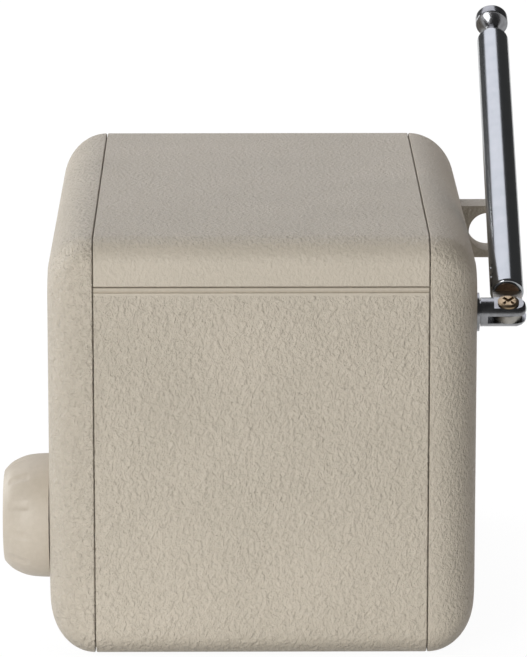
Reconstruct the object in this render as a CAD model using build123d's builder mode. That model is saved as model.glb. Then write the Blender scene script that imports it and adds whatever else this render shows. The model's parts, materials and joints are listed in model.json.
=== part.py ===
"""Tabletop radio: a rounded box with a tuning knob at the front and a folding rod antenna behind.

Millimetres, +Z up. The front faces -Y, the right side (as seen by the listener) faces +X, and the
feet stand on Z = 0 with the case centred over the origin.
"""

import os
from math import cos, radians, sin

from build123d import *

# Case
CASE_W = 126.0
CASE_D = 88.4
CASE_H = 88.4
EDGE_R = 9.5         # rounding of the front and rear mouldings
SIDE_R = 5.5         # rounding of the edges that run from front to rear
FRONT_DEPTH = 9.5
REAR_DEPTH = 10.0
TOP_DEPTH = 9.7      # from the top down to the seam between the two shells
WALL = 2.4
FACE_WALL = 2.8      # front and rear walls
RIM = 5.2            # width of the mouldings' rims where they meet the shells
SEAM = 0.3           # shadow line between case pieces
SEAM_DEPTH = 1.0
LIP = 3.0            # spigot of each moulding inside the shells
LIP_CLEAR = 0.1
FOOT_H = 1.0
FOOT_R = 5.0
FOOT_SINK = 1.0
FOOT_X, FOOT_Y = 46.0, 24.0

# Clearances
RUN = 0.05           # running fit, on the radius
PLAY = 0.3           # free gap round a moving piece

# Tuning drive and dial, on the right of the front
TUNE_X = 38.7
KNOB_Z = 25.3
KNOB_R = 13.05
KNOB_OUT = 10.05
KNOB_FLAT_R = 9.5
KNOB_FLUTES = 12
KNOB_CAP = 2.5        # solid plastic in front of the shaft
FLUTE_R = 2.6
FLUTE_DEPTH = 0.22
FLUTE_TURN = -6.3    # degrees, of the first flute above level
SHAFT_R = 3.0
TUNE_BUSH_R = 4.5
DIAL_Z = 61.0
BEZEL_R = 14.4
BEZEL_INNER_R = 12.2
BEZEL_T = 1.2
LENS_T = 1.0
CORD_R = 0.35        # half the thickness of the drive cord
KNOB_PITCH_R = 4.2   # cord centre line on the knob's pulley
DRUM_PITCH_R = 12.6  # cord centre line on the dial drum
PULLEY_Y = -31.0
PULLEY_T, GROOVE_W = 3.0, 1.2

# Loudspeaker, on the left of the front
SPEAKER_X, SPEAKER_Z = -22.0, 50.0
GRILLE_R = 26.9
GRILLE_OUT = 0.8
GRILLE_HOLE_R = 0.9
GRILLE_PITCH = 2.9
GRILLE_RINGS = 8
GRILLE_T, GRILLE_RIM = 1.4, 1.9
CLOTH_R = 25.3
CLOTH_T = 0.4
CONE_R = 21.6
COIL_R = 9.9
FLANGE_R, FLANGE_T = 29.5, 1.5
SPEAKER_SCREW_R = 28.0
SPEAKER_HOLE_L = 2.0

# Push buttons under the grille
BUTTON_Z = 15.0
BUTTON_XS = {"power_button": -34.0, "volume_down_button": -22.0, "volume_up_button": -10.0}
BUTTON_R = 3.1
BUTTON_OUT = 1.6
BUTTON_EDGE = 0.4
BUTTON_FLANGE_R, BUTTON_STEM_R = 3.9, 1.5
BUTTON_BOARD_W, BUTTON_BOARD_H = 44.0, 10.0
SWITCH_SIZE, SWITCH_H = 6.0, 3.0
SWITCH_PLUNGER_R, SWITCH_PLUNGER_H = 1.7, 0.5

# Rear: battery bay, sockets, antenna and its clip
DOOR_X, DOOR_Z = -14.0, 35.0
DOOR_W, DOOR_H = 54.0, 30.0
DOOR_T, DOOR_EDGE_R = 2.2, 1.5
GRIP_L, GRIP_W, GRIP_DEEP = 14.0, 4.0, 0.9
PIN_Y, PIN_DROP, PIN_R = 42.6, 12.8, 1.0
PIN_REACH = 1.3      # of each pin end into the rear wall
CELL_R, CELL_L = 7.1, 50.2
SOCKET_Z = 14.6
INLET_X, JACK_X, SWITCH_X = 23.0, 31.5, 40.0
JACK_BORE_R = 1.8
JACK_NOSE_R = 2.9
JACK_L = 14.0
JACK_W, JACK_BODY_L = 6.4, 12.2
INLET_W, INLET_H, INLET_WALL = 8.9, 3.2, 0.3
INLET_GAP = 0.25
INLET_L, INLET_DEEP = 10.0, 7.0
TONGUE_W, TONGUE_T = 6.6, 0.7
SOCKET_GAP = 0.1
SLIDER_W, SLIDER_H = 3.0, 2.4
SLIDER_PEG = 1.6
ROD_X, ROD_Z = 49.5, 71.4
ROD_OUT = 6.6        # hinge centre behind the rear face
ROD_RISE = 24.0      # degrees above level, leaning to the left, in the rest pose
ROD_LEAN = 0.9       # degrees towards the rear in the rest pose
STUB_R = 3.0
STUB_NOSE = ((0, 2.0), (0.35, 1.0), (1.0, 0.3), (1.9, 0))  # inset, and distance from the end
FORK_END = 3.8
FORK_SLOT = 1.8
FORK_FLAT = 2.3
TUBE_RS = (3.5, 3.05, 2.6, 2.15)
TUBE_WALL = 0.4
TUBE_START, TUBE_END, TUBE_STEP = 6.4, 102.8, 0.4
TIP_NECK_R, TIP_NECK_L = 1.5, 2.4
TIP_R, TIP_CONE, TIP_BAND, TIP_EDGE = 3.6, 2.0, 2.8, 0.3
CLIP_X, CLIP_L = -26.0, 8.0
CLIP_Z = ROD_Z + 2.3  # the folded rod runs slightly uphill to its clip
CLIP_SLOT, CLIP_ARM = 8.4, 1.6
CLIP_OUT, CLIP_BACK = 8.3, 2.1
CLIP_EDGE_R = 0.6

# Main board, on posts in the bottom of the case
BOARD_Z, BOARD_T = 9.0, 1.6
BOARD_X, BOARD_Y, BOARD_W, BOARD_D = 37.0, 5.0, 38.0, 60.0
BOARD_SCREWS = ((20.5, -22.0), (53.0, -22.0), (20.5, 14.0), (53.0, 14.0))

# Ferrite bar under the top
BAR_Y, BAR_Z, BAR_R, BAR_L = 10.0, 80.9, 4.0, 80.0
BAR_HOLDER_XS = (-34.0, 34.0)
HOLDER_T, HOLDER_W, HOLDER_DROP = 4.0, 12.0, 6.0

# Rear screws, as (X, Z)
CASE_SCREWS = ((-49.5, 15.5), (49.5, 15.5), (-49.5, 74.9), (36.0, 74.9))
SCREW_R = 1.5
SCREW_HEAD_R, SCREW_HEAD_H = 2.8, 2.0
SCREW_TIP = 23.5
SCREW_SEAT = 40.2
CROSS_L, CROSS_W = 3.4, 0.7
BOSS_END, BOSS_L, BOSS_HOLE_L = 31.0, 10.0, 8.0
BOSS_HALF = 4.0
REAR_POST_R = 3.8

# Small screws inside
SPEAKER_SHANK_R, TUNER_SHANK_R, BUTTON_SHANK_R, BOARD_SHANK_R = 0.9, 1.0, 0.8, 1.1
FRONT_POST_R = 2.0
FRONT_POST_HOLE = 5.0
BOARD_POST_R, BOARD_POST_HOLE = 3.0, 4.0

# Planes that the pieces share
BOTTOM = FOOT_H
TOP = FOOT_H + CASE_H
MID_Z = FOOT_H + CASE_H / 2
FRONT = -CASE_D / 2
REAR = CASE_D / 2
FRONT_IN = FRONT + FACE_WALL
REAR_IN = REAR - FACE_WALL
FRONT_SEAM = FRONT + FRONT_DEPTH
REAR_SEAM = REAR - REAR_DEPTH
SPLIT_Z = TOP - TOP_DEPTH
BOARD_TOP = BOARD_Z + BOARD_T


def across(y):
    """Plane at depth y whose sketches read as (X, Z); a positive extrude runs to the front."""
    return Plane.XZ.offset(-y)


def turned(outline, plane):
    """Body of revolution from (radius, distance) points, about the plane's own Y direction."""
    with BuildPart() as body:
        with BuildSketch(plane):
            with BuildLine():
                Polyline(*outline, close=True)
            make_face()
        revolve(axis=Axis(plane.origin, plane.y_dir))
    return body


def along_depth(x, z):
    """Plane for turned pieces whose axis runs from front to rear through (x, z)."""
    return Plane(origin=(x, 0, z))


def keep(body, name):
    """Label a finished piece and write it."""
    body.part.label = name
    export_step(body.part, f"parts/{name}.step")


def moulding(face_y, inward, depth):
    """Rounded cover over one end of the case, hollowed from its seam side, with a spigot."""
    seam_y = face_y + inward * depth
    with BuildPart() as cover:
        for angle in range(0, 91, 15):
            inset = EDGE_R * (1 - sin(radians(angle)))
            back = depth * (1 - cos(radians(angle)))
            with BuildSketch(across(face_y + inward * back)):
                with Locations((0, MID_Z)):
                    RectangleRounded(CASE_W - 2 * inset, CASE_H - 2 * inset, SIDE_R)
        loft()
        spigot = WALL + LIP_CLEAR
        with BuildSketch(across(seam_y)):
            with Locations((0, MID_Z)):
                RectangleRounded(CASE_W - 2 * spigot, CASE_H - 2 * spigot, SIDE_R - spigot)
        extrude(amount=-inward * LIP)
        with BuildSketch(across(face_y + inward * FACE_WALL)):
            with Locations((0, MID_Z)):
                RectangleRounded(CASE_W - 2 * RIM, CASE_H - 2 * RIM, SIDE_R - WALL)
        extrude(amount=-inward * (depth - FACE_WALL + LIP), mode=Mode.SUBTRACT)
    return cover


def shell_section(inset):
    """Rounded-rectangle section of the case, drawn inset from its outside."""
    with Locations((0, MID_Z)):
        RectangleRounded(CASE_W - 2 * inset, CASE_H - 2 * inset, SIDE_R - inset)


def shell(low, high, bosses):
    """Part of the case tube between two heights, with rear screw bosses given as X and Z spans."""
    with BuildPart() as body:
        with BuildSketch(across(REAR_SEAM - SEAM)):
            shell_section(0)
        extrude(amount=REAR_SEAM - FRONT_SEAM - 2 * SEAM)
        with BuildSketch(across(REAR_SEAM)):
            shell_section(SEAM_DEPTH)
        extrude(amount=REAR_SEAM - FRONT_SEAM)
        with BuildSketch(across(REAR_SEAM)):
            shell_section(WALL)
        extrude(amount=REAR_SEAM - FRONT_SEAM, mode=Mode.SUBTRACT)
        with Locations((0, 0, (low + high) / 2)):
            Box(CASE_W + 1, CASE_D + 1, high - low, mode=Mode.INTERSECT)
        for x, z, x_span, z_span in bosses:
            with BuildSketch(across(BOSS_END)):
                with Locations(((x_span[0] + x_span[1]) / 2, (z_span[0] + z_span[1]) / 2)):
                    Rectangle(x_span[1] - x_span[0], z_span[1] - z_span[0])
            extrude(amount=BOSS_L)
            with BuildSketch(across(BOSS_END)):
                with Locations((x, z)):
                    Circle(SCREW_R)
            extrude(amount=BOSS_HOLE_L, mode=Mode.SUBTRACT)
    return body


os.makedirs("parts", exist_ok=True)

# Case shells: a top cover over a lower U-shaped body, parted by a shadow line at the sides
INSIDE_X = CASE_W / 2 - WALL
INSIDE_TOP = TOP - WALL
FLOOR_Z = BOTTOM + WALL
upper_bosses = [(x, z, (x - BOSS_HALF, x + BOSS_HALF), (z - BOSS_HALF, INSIDE_TOP))
                for x, z in CASE_SCREWS[2:]]
upper_tube = shell(SPLIT_Z, TOP + 1, upper_bosses)
with BuildPart() as upper_shell:
    add(upper_tube.part)
    with Locations(*[(x, BAR_Y, (BAR_Z - HOLDER_DROP + INSIDE_TOP) / 2) for x in BAR_HOLDER_XS]):
        Box(HOLDER_T, HOLDER_W, INSIDE_TOP - BAR_Z + HOLDER_DROP)
    with BuildSketch(Plane.YZ):
        with Locations((BAR_Y, BAR_Z)):
            Circle(BAR_R)
    extrude(amount=BAR_L / 2, both=True, mode=Mode.SUBTRACT)
keep(upper_shell, "upper_shell")

(left_x, left_z), (right_x, right_z) = CASE_SCREWS[:2]
left_spans = (-INSIDE_X, left_x + BOSS_HALF), (left_z - BOSS_HALF, left_z + BOSS_HALF)
right_spans = (right_x - BOSS_HALF, INSIDE_X), (right_z - BOSS_HALF, right_z + BOSS_HALF)
lower_bosses = [(left_x, left_z, *left_spans), (right_x, right_z, *right_spans)]
lower_tube = shell(BOTTOM - 1, SPLIT_Z, lower_bosses)
with BuildPart() as lower_shell:
    add(lower_tube.part)
    with Locations((CASE_W / 2, 0, SPLIT_Z), (-CASE_W / 2, 0, SPLIT_Z)):
        Box(2 * SEAM_DEPTH, CASE_D, 2 * SEAM, mode=Mode.SUBTRACT)
    with BuildSketch(Plane.XY.offset(FLOOR_Z)):
        with Locations(*BOARD_SCREWS):
            Circle(BOARD_POST_R)
    extrude(amount=BOARD_Z - FLOOR_Z)
    with BuildSketch(Plane.XY.offset(BOARD_Z)):
        with Locations(*BOARD_SCREWS):
            Circle(BOARD_SHANK_R)
    extrude(amount=-BOARD_POST_HOLE, mode=Mode.SUBTRACT)
    with BuildSketch(Plane.XY.offset(BOTTOM)):
        with GridLocations(2 * FOOT_X, 2 * FOOT_Y, 2, 2):
            Circle(FOOT_R)
    extrude(amount=FOOT_SINK, mode=Mode.SUBTRACT)
keep(lower_shell, "lower_shell")

with BuildPart() as feet:
    with BuildSketch():
        with GridLocations(2 * FOOT_X, 2 * FOOT_Y, 2, 2):
            Circle(FOOT_R)
    extrude(amount=FOOT_H + FOOT_SINK)
keep(feet, "feet")

# Front moulding: openings for the grille, dial, knob shaft, buttons and indicator, and inner posts
INDICATOR_X, INDICATOR_R = 14.0, 1.3
BUTTON_POSTS = ((-41.0, BUTTON_Z), (-3.0, BUTTON_Z))
BUTTON_BOARD_Y = -35.0
TUNER_POST = 15.5
TUNER_Y = -27.0
speaker_places = [(SPEAKER_X + SPEAKER_SCREW_R * cos(radians(angle)),
                   SPEAKER_Z + SPEAKER_SCREW_R * sin(radians(angle))) for angle in (45, 135, 225, 315)]
tuner_posts = [(TUNE_X + sx * TUNER_POST, DIAL_Z + sz * TUNER_POST) for sx in (-1, 1) for sz in (-1, 1)]
front_blank = moulding(FRONT, 1, FRONT_DEPTH)
with BuildPart() as front_frame:
    add(front_blank.part)
    for centre, radius in (((SPEAKER_X, SPEAKER_Z), CLOTH_R), ((TUNE_X, DIAL_Z), BEZEL_INNER_R),
                           ((TUNE_X, KNOB_Z), TUNE_BUSH_R), ((INDICATOR_X, BUTTON_Z), INDICATOR_R)):
        with BuildSketch(across(FRONT_IN)):
            with Locations(centre):
                Circle(radius)
        extrude(amount=FACE_WALL + 1, mode=Mode.SUBTRACT)
    with BuildSketch(across(FRONT_IN)):
        with Locations(*[(x, BUTTON_Z) for x in BUTTON_XS.values()]):
            Circle(BUTTON_R + PLAY)
    extrude(amount=FACE_WALL + 1, mode=Mode.SUBTRACT)
    with BuildSketch(across(FRONT)):
        with Locations((SPEAKER_X, SPEAKER_Z)):
            Circle(GRILLE_R)
        with Locations((TUNE_X, DIAL_Z)):
            Circle(BEZEL_R)
    extrude(amount=-BEZEL_T, mode=Mode.SUBTRACT)
    with BuildSketch(across(FRONT_IN)):
        with Locations(*BUTTON_POSTS):
            Circle(FRONT_POST_R)
    extrude(amount=-(BUTTON_BOARD_Y - FRONT_IN))
    with BuildSketch(across(FRONT_IN)):
        with Locations(*tuner_posts):
            Circle(FRONT_POST_R)
    extrude(amount=-(TUNER_Y - FRONT_IN))
    for holes, radius, end in ((BUTTON_POSTS, BUTTON_SHANK_R, BUTTON_BOARD_Y),
                               (tuner_posts, TUNER_SHANK_R, TUNER_Y)):
        with BuildSketch(across(end)):
            with Locations(*holes):
                Circle(radius)
        extrude(amount=FRONT_POST_HOLE, mode=Mode.SUBTRACT)
    with BuildSketch(across(FRONT_IN)):
        with Locations(*speaker_places):
            Circle(SPEAKER_SHANK_R)
    extrude(amount=SPEAKER_HOLE_L, mode=Mode.SUBTRACT)
keep(front_frame, "front_frame")

# Rear moulding: battery opening with hinge holes, sockets, antenna hole, clip holes and screw posts
PIN_Z = DOOR_Z - PIN_DROP
SLIDE_TRAVEL = 4.0
CLIP_PEG_R, CLIP_PEG_Z = 1.5, 3.4
BUSH_R = 4.0
rear_blank = moulding(REAR, -1, REAR_DEPTH)
with BuildPart() as rear_cover:
    add(rear_blank.part)
    with BuildSketch(across(REAR_IN)):
        with Locations(*CASE_SCREWS):
            Circle(REAR_POST_R)
    extrude(amount=REAR_IN - BOSS_END)
    with BuildSketch(across(REAR)):
        with Locations((DOOR_X, DOOR_Z)):
            Rectangle(DOOR_W, DOOR_H)
        with Locations((JACK_X, SOCKET_Z)):
            Circle(JACK_NOSE_R + SOCKET_GAP)
        with Locations((INLET_X, SOCKET_Z)):
            SlotOverall(INLET_W + 2 * INLET_GAP, INLET_H + 2 * INLET_GAP)
        with Locations((SWITCH_X, SOCKET_Z)):
            Rectangle(SLIDER_W + SLIDE_TRAVEL + 2 * PLAY, SLIDER_H + 2 * PLAY)
        with Locations((ROD_X, ROD_Z)):
            Circle(BUSH_R)
        with Locations((CLIP_X, CLIP_Z - CLIP_PEG_Z), (CLIP_X, CLIP_Z + CLIP_PEG_Z)):
            Circle(CLIP_PEG_R)
    extrude(amount=FACE_WALL, mode=Mode.SUBTRACT)
    with BuildSketch(across(REAR)):
        with Locations(*CASE_SCREWS):
            Circle(SCREW_HEAD_R + PLAY)
    extrude(amount=REAR - SCREW_SEAT, mode=Mode.SUBTRACT)
    with BuildSketch(across(REAR)):
        with Locations(*CASE_SCREWS):
            Circle(SCREW_R + LIP_CLEAR)
    extrude(amount=REAR - BOSS_END, mode=Mode.SUBTRACT)
    with BuildSketch(Plane.YZ.offset(DOOR_X)):
        with Locations((PIN_Y, PIN_Z)):
            Circle(PIN_R + RUN)
    extrude(amount=DOOR_W / 2 + PIN_REACH + PLAY, both=True, mode=Mode.SUBTRACT)
keep(rear_cover, "rear_cover")

with BuildPart() as case_screws:
    with BuildSketch(across(SCREW_SEAT)):
        with Locations(*CASE_SCREWS):
            Circle(SCREW_R)
    extrude(amount=SCREW_SEAT - SCREW_TIP)
    with BuildSketch(across(SCREW_SEAT)):
        with Locations(*CASE_SCREWS):
            Circle(SCREW_HEAD_R)
    extrude(amount=-SCREW_HEAD_H)
    with BuildSketch(across(SCREW_SEAT + SCREW_HEAD_H)):
        with Locations(*CASE_SCREWS):
            Rectangle(CROSS_L, CROSS_W)
            Rectangle(CROSS_W, CROSS_L)
    extrude(amount=SCREW_HEAD_H / 2, mode=Mode.SUBTRACT)
keep(case_screws, "case_screws")

# Loudspeaker: grille and cloth in the front, then the driver behind the wall
speaker_axis = along_depth(SPEAKER_X, SPEAKER_Z)
GRILLE_BACK = FRONT + BEZEL_T
with BuildPart() as speaker_grille:
    with BuildSketch(across(GRILLE_BACK)):
        with Locations((SPEAKER_X, SPEAKER_Z)):
            Circle(GRILLE_R)
            Circle(GRILLE_HOLE_R, mode=Mode.SUBTRACT)
            for ring in range(1, GRILLE_RINGS + 1):
                with PolarLocations(ring * GRILLE_PITCH, 6 * ring):
                    Circle(GRILLE_HOLE_R, mode=Mode.SUBTRACT)
    extrude(amount=GRILLE_T)
    with BuildSketch(across(GRILLE_BACK - GRILLE_T)):
        with Locations((SPEAKER_X, SPEAKER_Z)):
            Circle(GRILLE_R)
            Circle(GRILLE_R - GRILLE_RIM, mode=Mode.SUBTRACT)
    extrude(amount=GRILLE_OUT + BEZEL_T - GRILLE_T)
keep(speaker_grille, "speaker_grille")
keep(turned([(0, GRILLE_BACK), (CLOTH_R, GRILLE_BACK), (CLOTH_R, GRILLE_BACK + CLOTH_T),
             (0, GRILLE_BACK + CLOTH_T)], speaker_axis), "speaker_cloth")

BASKET_BACK = -22.8
BASKET_T = 1.2
BASKET_MOUTH_R, BASKET_FOOT_R, GAP_R = 25.4, 15.9, 10.6
BASKET_STEP = BASKET_BACK - 2.0
basket_blank = turned([(BASKET_MOUTH_R, FRONT_IN), (FLANGE_R, FRONT_IN), (FLANGE_R, FRONT_IN + FLANGE_T),
                       (BASKET_MOUTH_R + 1.0, FRONT_IN + FLANGE_T), (BASKET_FOOT_R + 1.3, BASKET_STEP),
                       (BASKET_FOOT_R + 1.3, BASKET_BACK), (GAP_R, BASKET_BACK),
                       (GAP_R, BASKET_BACK - BASKET_T), (BASKET_FOOT_R, BASKET_BACK - BASKET_T),
                       (BASKET_FOOT_R, BASKET_STEP), (BASKET_MOUTH_R, FRONT_IN + FLANGE_T + 1.0)],
                      speaker_axis)
TAG_X, TAG_Z, TAG_SIZE = SPEAKER_X + 13.0, SPEAKER_Z - 13.0, 6.0
WINDOW_R, WINDOW_W, WINDOW_H = 24.0, 14.0, 16.0
WINDOW_BACK, WINDOW_L = BASKET_BACK - 4.0, 9.0
with BuildPart() as speaker_basket:
    add(basket_blank.part)
    with BuildSketch(across(WINDOW_BACK)):
        with Locations((SPEAKER_X, SPEAKER_Z)):
            with PolarLocations(WINDOW_R, 4):
                Rectangle(WINDOW_W, WINDOW_H)
    extrude(amount=WINDOW_L, mode=Mode.SUBTRACT)
    with BuildSketch(across(FRONT_IN + FLANGE_T)):
        with Locations(*speaker_places):
            Circle(SPEAKER_SHANK_R + 2 * LIP_CLEAR)
    extrude(amount=FLANGE_T, mode=Mode.SUBTRACT)
    with Locations((TAG_X, BASKET_BACK - BASKET_T / 2, TAG_Z)):
        Box(TAG_SIZE, BASKET_T, TAG_SIZE)
keep(speaker_basket, "speaker_basket")

PLATE_BACK, MAGNET_BACK, YOKE_BACK = BASKET_BACK + 2.5, BASKET_BACK + 10.5, BASKET_BACK + 13.0
YOKE_R, POLE_R, MAGNET_R, MAGNET_BORE_R = 15.5, 9.0, 16.5, 11.5
POLE_FRONT = BASKET_BACK - 0.2
keep(turned([(GAP_R, BASKET_BACK), (YOKE_R, BASKET_BACK), (YOKE_R, PLATE_BACK), (GAP_R, PLATE_BACK)],
            speaker_axis), "speaker_top_plate")
keep(turned([(MAGNET_BORE_R, PLATE_BACK), (MAGNET_R, PLATE_BACK), (MAGNET_R, MAGNET_BACK),
             (MAGNET_BORE_R, MAGNET_BACK)], speaker_axis), "speaker_magnet")
keep(turned([(0, YOKE_BACK), (YOKE_R, YOKE_BACK), (YOKE_R, MAGNET_BACK), (POLE_R, MAGNET_BACK),
             (POLE_R, POLE_FRONT), (0, POLE_FRONT)], speaker_axis), "speaker_yoke")

# Moving system of the loudspeaker: coil on its former, paper cone, dust cap and rubber surround
CONE_FRONT, CONE_BACK, CONE_T = FRONT_IN + 0.7, -29.6, 0.7
FORMER_R, FORMER_FRONT, FORMER_BACK = 9.3, CONE_BACK - 0.4, -18.0
SURROUND_R, SURROUND_T = 25.0, 0.6
ROLL_R, ROLL_HALF, ROLL_H = 23.3, 0.9, 0.9
keep(turned([(FORMER_R, FORMER_FRONT), (COIL_R, FORMER_FRONT), (COIL_R, FORMER_BACK),
             (FORMER_R, FORMER_BACK)], speaker_axis), "voice_coil")
keep(turned([(COIL_R, CONE_BACK), (COIL_R, CONE_BACK + CONE_T), (CONE_R, CONE_FRONT + CONE_T),
             (CONE_R, CONE_FRONT)], speaker_axis), "speaker_cone")
keep(turned([(0, CONE_BACK - 3.4), (5.5, CONE_BACK - 2.7), (11.2, CONE_BACK - 1.3),
             (11.0, CONE_BACK - 1.1), (5.5, CONE_BACK - 2.1), (0, CONE_BACK - 2.8)],
            speaker_axis), "dust_cap")
surround_back = CONE_FRONT + SURROUND_T
keep(turned([(CONE_R, CONE_FRONT), (CONE_R, surround_back), (ROLL_R - ROLL_HALF, surround_back),
             (ROLL_R, surround_back - ROLL_H), (ROLL_R + ROLL_HALF, surround_back),
             (SURROUND_R, surround_back), (SURROUND_R, CONE_FRONT), (ROLL_R + 1.2, CONE_FRONT),
             (ROLL_R, CONE_FRONT - ROLL_H - 0.1), (ROLL_R - 1.2, CONE_FRONT)],
            speaker_axis), "speaker_surround")

# Dial: flush bezel and lens over a printed plate, with a pointer that the drum behind it turns
dial_axis = along_depth(TUNE_X, DIAL_Z)
PLATE_T, PLATE_R, PLATE_BORE_R = 0.8, 15.0, 2.0
POINTER_Y = FRONT_IN - 0.5
POINTER_T = 0.7
POINTER_L, POINTER_W, POINTER_HUB_R = 10.4, 0.9, 2.6
keep(turned([(BEZEL_INNER_R, FRONT), (BEZEL_R, FRONT), (BEZEL_R, FRONT + BEZEL_T),
             (BEZEL_INNER_R, FRONT + BEZEL_T)], dial_axis), "dial_bezel")
keep(turned([(0, FRONT + BEZEL_T), (BEZEL_INNER_R, FRONT + BEZEL_T),
             (BEZEL_INNER_R, FRONT + BEZEL_T - LENS_T), (0, FRONT + BEZEL_T - LENS_T)],
            dial_axis), "dial_lens")
keep(turned([(PLATE_BORE_R, FRONT_IN), (PLATE_R, FRONT_IN), (PLATE_R, FRONT_IN + PLATE_T),
             (PLATE_BORE_R, FRONT_IN + PLATE_T)], dial_axis), "dial_plate")

DIAL_SHAFT_R = 1.5
SHAFT_END = -20.0
keep(turned([(0, POINTER_Y - POINTER_T), (DIAL_SHAFT_R, POINTER_Y - POINTER_T), (DIAL_SHAFT_R, SHAFT_END),
             (0, SHAFT_END)], dial_axis), "dial_shaft")
with BuildPart() as dial_pointer:
    with BuildSketch(across(POINTER_Y)):
        with Locations((TUNE_X, DIAL_Z)):
            Circle(POINTER_HUB_R)
            with Locations((0, POINTER_L / 2)):
                Rectangle(POINTER_W, POINTER_L)
            Circle(DIAL_SHAFT_R, mode=Mode.SUBTRACT)
    extrude(amount=POINTER_T)
keep(dial_pointer, "dial_pointer")


def pulley(bore_r, pitch_r, axis):
    """Grooved wheel for the drive cord, with its groove at the cord's depth."""
    floor_r = pitch_r - CORD_R - RUN
    rim_r = pitch_r + 3 * CORD_R
    near, far = PULLEY_Y - PULLEY_T / 2, PULLEY_Y + PULLEY_T / 2
    groove_near, groove_far = PULLEY_Y - GROOVE_W / 2, PULLEY_Y + GROOVE_W / 2
    return turned([(bore_r, near), (rim_r, near), (floor_r, groove_near), (floor_r, groove_far),
                   (rim_r, far), (bore_r, far)], axis)


keep(pulley(DIAL_SHAFT_R, DRUM_PITCH_R, dial_axis), "dial_drum")
with BuildPart() as dial_cord:
    for grow, how in ((CORD_R, Mode.ADD), (-CORD_R, Mode.SUBTRACT)):
        with BuildSketch(across(PULLEY_Y + CORD_R)):
            with Locations((TUNE_X, KNOB_Z)):
                Circle(KNOB_PITCH_R + grow)
            with Locations((TUNE_X, DIAL_Z)):
                Circle(DRUM_PITCH_R + grow)
            make_hull()
        extrude(amount=2 * CORD_R, mode=how)
keep(dial_cord, "dial_cord")

# Tuner: chassis plate on four posts, with the variable capacitor that the dial shaft turns
CHASSIS_W, CHASSIS_T, CHASSIS_BORE_R = 36.0, 1.5, 3.5
CAPACITOR_W, CAPACITOR_L = 22.0, 13.0
CAPACITOR_BORE_L = 10.0
with BuildPart() as tuner_chassis:
    with BuildSketch(across(TUNER_Y + CHASSIS_T)):
        with Locations((TUNE_X, DIAL_Z)):
            RectangleRounded(CHASSIS_W, CHASSIS_W, FRONT_POST_R)
            Circle(CHASSIS_BORE_R, mode=Mode.SUBTRACT)
        with Locations(*tuner_posts):
            Circle(TUNER_SHANK_R + LIP_CLEAR, mode=Mode.SUBTRACT)
    extrude(amount=CHASSIS_T)
keep(tuner_chassis, "tuner_chassis")
with BuildPart() as tuning_capacitor:
    with BuildSketch(across(TUNER_Y + CHASSIS_T + CAPACITOR_L)):
        with Locations((TUNE_X, DIAL_Z)):
            RectangleRounded(CAPACITOR_W, CAPACITOR_W, DIAL_SHAFT_R)
    extrude(amount=CAPACITOR_L)
    with BuildSketch(across(SHAFT_END + PLAY)):
        with Locations((TUNE_X, DIAL_Z)):
            Circle(DIAL_SHAFT_R + RUN)
    extrude(amount=CAPACITOR_BORE_L, mode=Mode.SUBTRACT)
keep(tuning_capacitor, "tuning_capacitor")

# Tuning control: bush in the front wall, and the knob, shaft and pulley that turn in it
knob_axis = along_depth(TUNE_X, KNOB_Z)
BUSH_END = FRONT_IN + 7.4
KNOB_BACK = FRONT - PLAY
KNOB_TIP = FRONT - KNOB_OUT
BUSH_FACE = FRONT + 0.2
BUSH_NUT_R, BUSH_NUT_T, BUSH_BODY_R = 7.5, 2.0, 5.0
SHAFT_BACK = -28.0
keep(turned([(SHAFT_R + RUN, BUSH_FACE), (TUNE_BUSH_R, BUSH_FACE), (TUNE_BUSH_R, FRONT_IN),
             (BUSH_NUT_R, FRONT_IN), (BUSH_NUT_R, FRONT_IN + BUSH_NUT_T),
             (BUSH_BODY_R, FRONT_IN + BUSH_NUT_T), (BUSH_BODY_R, BUSH_END), (SHAFT_R + RUN, BUSH_END)],
            knob_axis), "tuning_bush")
keep(turned([(0, KNOB_TIP + KNOB_CAP), (SHAFT_R, KNOB_TIP + KNOB_CAP), (SHAFT_R, SHAFT_BACK),
             (0, SHAFT_BACK)], knob_axis), "tuning_shaft")
keep(pulley(SHAFT_R, KNOB_PITCH_R, knob_axis), "drive_pulley")
FLUTE_TILT = 14.0
FLUTE_L = 5.2
FLUTE_MID = KNOB_TIP + 3.4
FLUTE_PITCH_R = 12.1  # knob surface at the middle of the flutes
with BuildPart() as tuning_knob:
    with BuildSketch(knob_axis):
        with BuildLine():
            Polyline((0, KNOB_BACK), (0, KNOB_TIP), (KNOB_FLAT_R, KNOB_TIP))
            Spline((KNOB_FLAT_R, KNOB_TIP), (11.05, KNOB_TIP + 1.45), (FLUTE_PITCH_R, KNOB_TIP + 3.3),
                   (12.9, KNOB_TIP + 5.9), (KNOB_R, KNOB_BACK), tangents=((0.7, 0.7), (0, 1)))
            Line((KNOB_R, KNOB_BACK), (0, KNOB_BACK))
        make_face()
    revolve(axis=Axis(knob_axis.origin, knob_axis.y_dir))
    with Locations(across(FLUTE_MID)):
        with Locations((TUNE_X, KNOB_Z)):
            with PolarLocations(FLUTE_PITCH_R + FLUTE_R - FLUTE_DEPTH, KNOB_FLUTES, start_angle=FLUTE_TURN):
                Cylinder(FLUTE_R, FLUTE_L, rotation=(0, -FLUTE_TILT, 0), mode=Mode.SUBTRACT)
    with BuildSketch(across(KNOB_BACK)):
        with Locations((TUNE_X, KNOB_Z)):
            Circle(SHAFT_R)
    extrude(amount=KNOB_BACK - KNOB_TIP - KNOB_CAP, mode=Mode.SUBTRACT)
keep(tuning_knob, "tuning_knob")

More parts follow.
